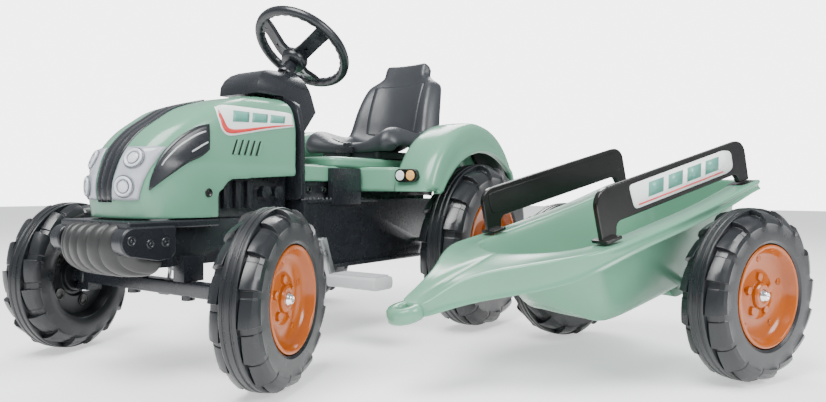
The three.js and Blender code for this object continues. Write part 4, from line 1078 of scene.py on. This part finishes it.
def tub_section(i):
    """Half a section, from the skirt's foot over the lip and the flange down to the floor's middle."""
    rim, top, low = (Vector(p) for p in TUB_STATIONS[i][:3])
    floor_z = TUB_STATIONS[i][3]
    out = rim_way_out(i)
    foot, crest = along(SKIRT_FOOT, rim.y), along(RIM_TOP, rim.y)
    high = along(RIM_TOP, top.y)
    ring = [(rim + out * 2.2, foot), (rim + out * 2.4, foot + 2.4), (rim + out * 0.2, foot + 4),
            (rim - out * 0.3, foot * 0.5 + crest * 0.5), (rim + out * 1.5, crest - 6),
            (rim + out * 3.0, crest - 3.6), (rim + out * 2.6, crest - 1.2), (rim, crest),
            (rim - out * min(5, rim.x * 0.3 + 0.5), crest - 0.3)]
    for u in (0.2, 0.35, 0.5, 0.65, 0.8, 0.93):
        plan = rim.lerp(top, u)
        sag = 1.5 * math.sin(u * math.pi) * min((rim - top).length / 60, 1)
        ring.append((plan, along(RIM_TOP, plan.y) - sag - drawbar_groove(plan)))
    ring.append((top, high - 1))
    for u, drop in BOWL_STEPS:
        ring.append((top + (low - top) * u, high + (floor_z - high) * drop))
    at_end = i < 5 or i > 14
    ring.append((Vector((0, low.y * 0.88 if at_end else low.y)), floor_z))
    return [(max(plan.x, 0), plan.y, z) for plan, z in ring]


tub_bm = sweep([tub_section(i) for i in range(len(TUB_STATIONS))])
bmesh.ops.remove_doubles(tub_bm, verts=tub_bm.verts, dist=0.05)
for vert in tub_bm.verts:
    if vert.co.x < 0.05:
        vert.co.x = 0
bmesh.ops.mirror(tub_bm, geom=tub_bm.verts[:] + tub_bm.edges[:] + tub_bm.faces[:], axis="X", merge_dist=0.05)
bmesh.ops.remove_doubles(tub_bm, verts=tub_bm.verts, dist=0.05)
bmesh.ops.recalc_face_normals(tub_bm, faces=tub_bm.faces)
if sum(f.normal.z * f.calc_area() for f in tub_bm.faces) < 0:
    bmesh.ops.reverse_faces(tub_bm, faces=tub_bm.faces)
piece("tub_shell", tub_bm, TUB, "trailer_tub", GREEN, ["trailer_tub"], wall=3.6, subdivide=1, keep=True)

tip = spun([(7.5, 88), (21, 86), (23, 88), (23.3, 95), (22.5, 101), (20, 103.5), (9.5, 104), (7.5, 102)], 40,
           closed=True)
piece("drawbar_eye_ring", tip, TUB @ Matrix.Translation((0, -417, 0)), "trailer_tub", GREEN)
block_outline = round_corners([(-24, 2), (24, 2), (20, -12), (9, -17), (-9, -17), (-20, -12)], 4)
for x in (-62, 40):
    saddle_block = plate(block_outline, "yz", x, x + 22)
    piece(f"axle_saddle_{x}", saddle_block, TUB, "trailer_tub", GREEN, bevel=2)
print("tub stations:", len(TUB_STATIONS))

# %% [markdown]
# The two side boards are flat glossy plates that stand on two feet in the flange. Each carries a plain
# rounded plate outside, which is white with four slanted bars over a thin line, and a raised frame inside.

# %% Side boards
BOARD = (arc(-170, 165, 22, 180, 90, 8) + arc(99, 167, 20, 90, 0, 8) + [(119, 127), (97, 127)]
         + arc(84, 131, 10, 0, 90, 5) + arc(-155, 131, 10, 90, 180, 5) + [(-168, 122), (-192, 122)])
for side, label in SIDES:
    body = f"side_board_{label}"
    panel = plate(BOARD, "yz", 107 * side, 115 * side)
    piece(f"board_{label}", panel, TUB, body, SHEET, [body], bevel=1.6)
    for y in (-180, 106):
        outline = round_corners([(96, y - 14), (124, y - 14), (124, y + 14), (96, y + 14)], 4)
        foot = plate(outline, "xy", 121.5, 126)
        piece(f"board_foot_{label}_{y + 200}", foot, TUB @ to_side(side), body, SHEET, bevel=1.2)
    frame_line = round_corners([(-180, 149), (-180, 180), (107, 180), (107, 149)], 8)
    inner = plate(frame_line, "yz", 107 * side, 105.6 * side)
    piece(f"board_frame_{label}", inner, TUB, body, SHEET, bevel=0.6)
    outline = round_corners([(-128, 148), (-132, 180), (66, 181), (84, 176), (84, 152), (70, 148)], 7)
    thin_overlay = plate(outline, "yz", 114.8 * side, 115.6 * side)
    piece(f"board_plate_{label}", thin_overlay, TUB, body, WHITE)
    for k in range(4):
        y = -100 + 40 * k
        bar = plate([(y, 157), (y + 30, 157), (y + 35, 175), (y + 5, 175)], "yz", 115.4 * side, 115.9 * side)
        piece(f"board_bar_{label}_{k}", bar, TUB, body, TEAL)
    line = plate([(-120, 151), (60, 151), (60, 153), (-120, 153)], "yz", 115.4 * side, 115.9 * side)
    piece(f"board_line_{label}", line, TUB, body, RED)
print("boards are", max(y for y, _ in BOARD) - min(y for y, _ in BOARD), "mm long")

# %% [markdown]
# The last details are the ones that make a toy look moulded: combs on the pedals, and the windows, teeth,
# eyelets and ribs of the gear cover. The combs take their places from the pedals' boxes in the frame, and the
# others stand on the cover, on both sides of the tractor.

# %% Pedals and gear cover
for side, label in SIDES:
    softened(f"pedal_{label}", f"pedal_{label}", PALE, 1.5)
    low, high = [TRACTOR.inverted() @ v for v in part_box(f"pedal_{label}")]
    for k in range(9):
        y = low.y + 8 + (high.y - low.y - 16) * k / 8
        corners = [(low.x + 8, y - 1.6), (high.x - 3, y - 1.6), (high.x - 3, y + 1.6), (low.x + 8, y + 1.6)]
        comb = plate(round_corners(corners, 1.2, 3), "xy", high.z - 0.5, high.z + 2.2)
        piece(f"pedal_comb_{label}_{k}", comb, TRACTOR, f"pedal_{label}", PALE, bevel=0.5)
COVER_X = 82
EYELET_PROFILE = [(4.2, -1), (6.6, -1), (6.8, 1.2), (5.6, 2), (4.2, 1)]


def window_ring(y0, y1, z0, z1, radius):
    """The rounded outline of a window on the gear cover."""
    return [(COVER_X, y, z) for y, z in round_corners([(y0, z0), (y1, z0), (y1, z1), (y0, z1)], radius)]


for side, label in SIDES:
    to_cover = TRACTOR @ to_side(side)
    for k, (y0, y1, z0, z1) in enumerate(((286, 349, 151, 186), (286, 349, 188, 223), (225, 276, 188, 223))):
        window = bmesh.new()
        _, outside = chain(window, window_ring(y0, y1, z0, z1, 4), True)
        _, inside = chain(window, window_ring(y0 + 4, y1 - 4, z0 + 4, z1 - 4, 3), True)
        bmesh.ops.bridge_loops(window, edges=outside + inside)
        piece(f"cover_frame_{label}_{k}", window, to_cover, "chassis", BLACK, wall=5, offset=0, bevel=0.9)
    for k in range(17):
        tooth = bmesh.new()
        bmesh.ops.create_cone(tooth, cap_ends=True, segments=12, radius1=3.4, radius2=1.8, depth=4)
        bmesh.ops.transform(tooth, matrix=Matrix.Translation((86, 212 + 10.2 * k, 235)), verts=tooth.verts)
        piece(f"cover_tooth_{label}_{k}", tooth, to_cover, "chassis", BLACK, bevel=0.6)
    for y in (225, 260, 295):
        spot = to_cover @ Matrix.Translation((72, y, 250))
        piece(f"cover_eyelet_{label}_{y}", turned(EYELET_PROFILE, 20), spot, "chassis", BLACK)
    for k, y in enumerate((372, 400, 470, 540)):
        rib = plate(round_corners([(y, 134), (y + 5, 134), (y + 5, 226), (y, 226)], 2, 3), "yz", 79, 84)
        piece(f"cover_rib_{label}_{k}", rib, to_cover, "chassis", BLACK, bevel=1)
print("cover details on both sides")
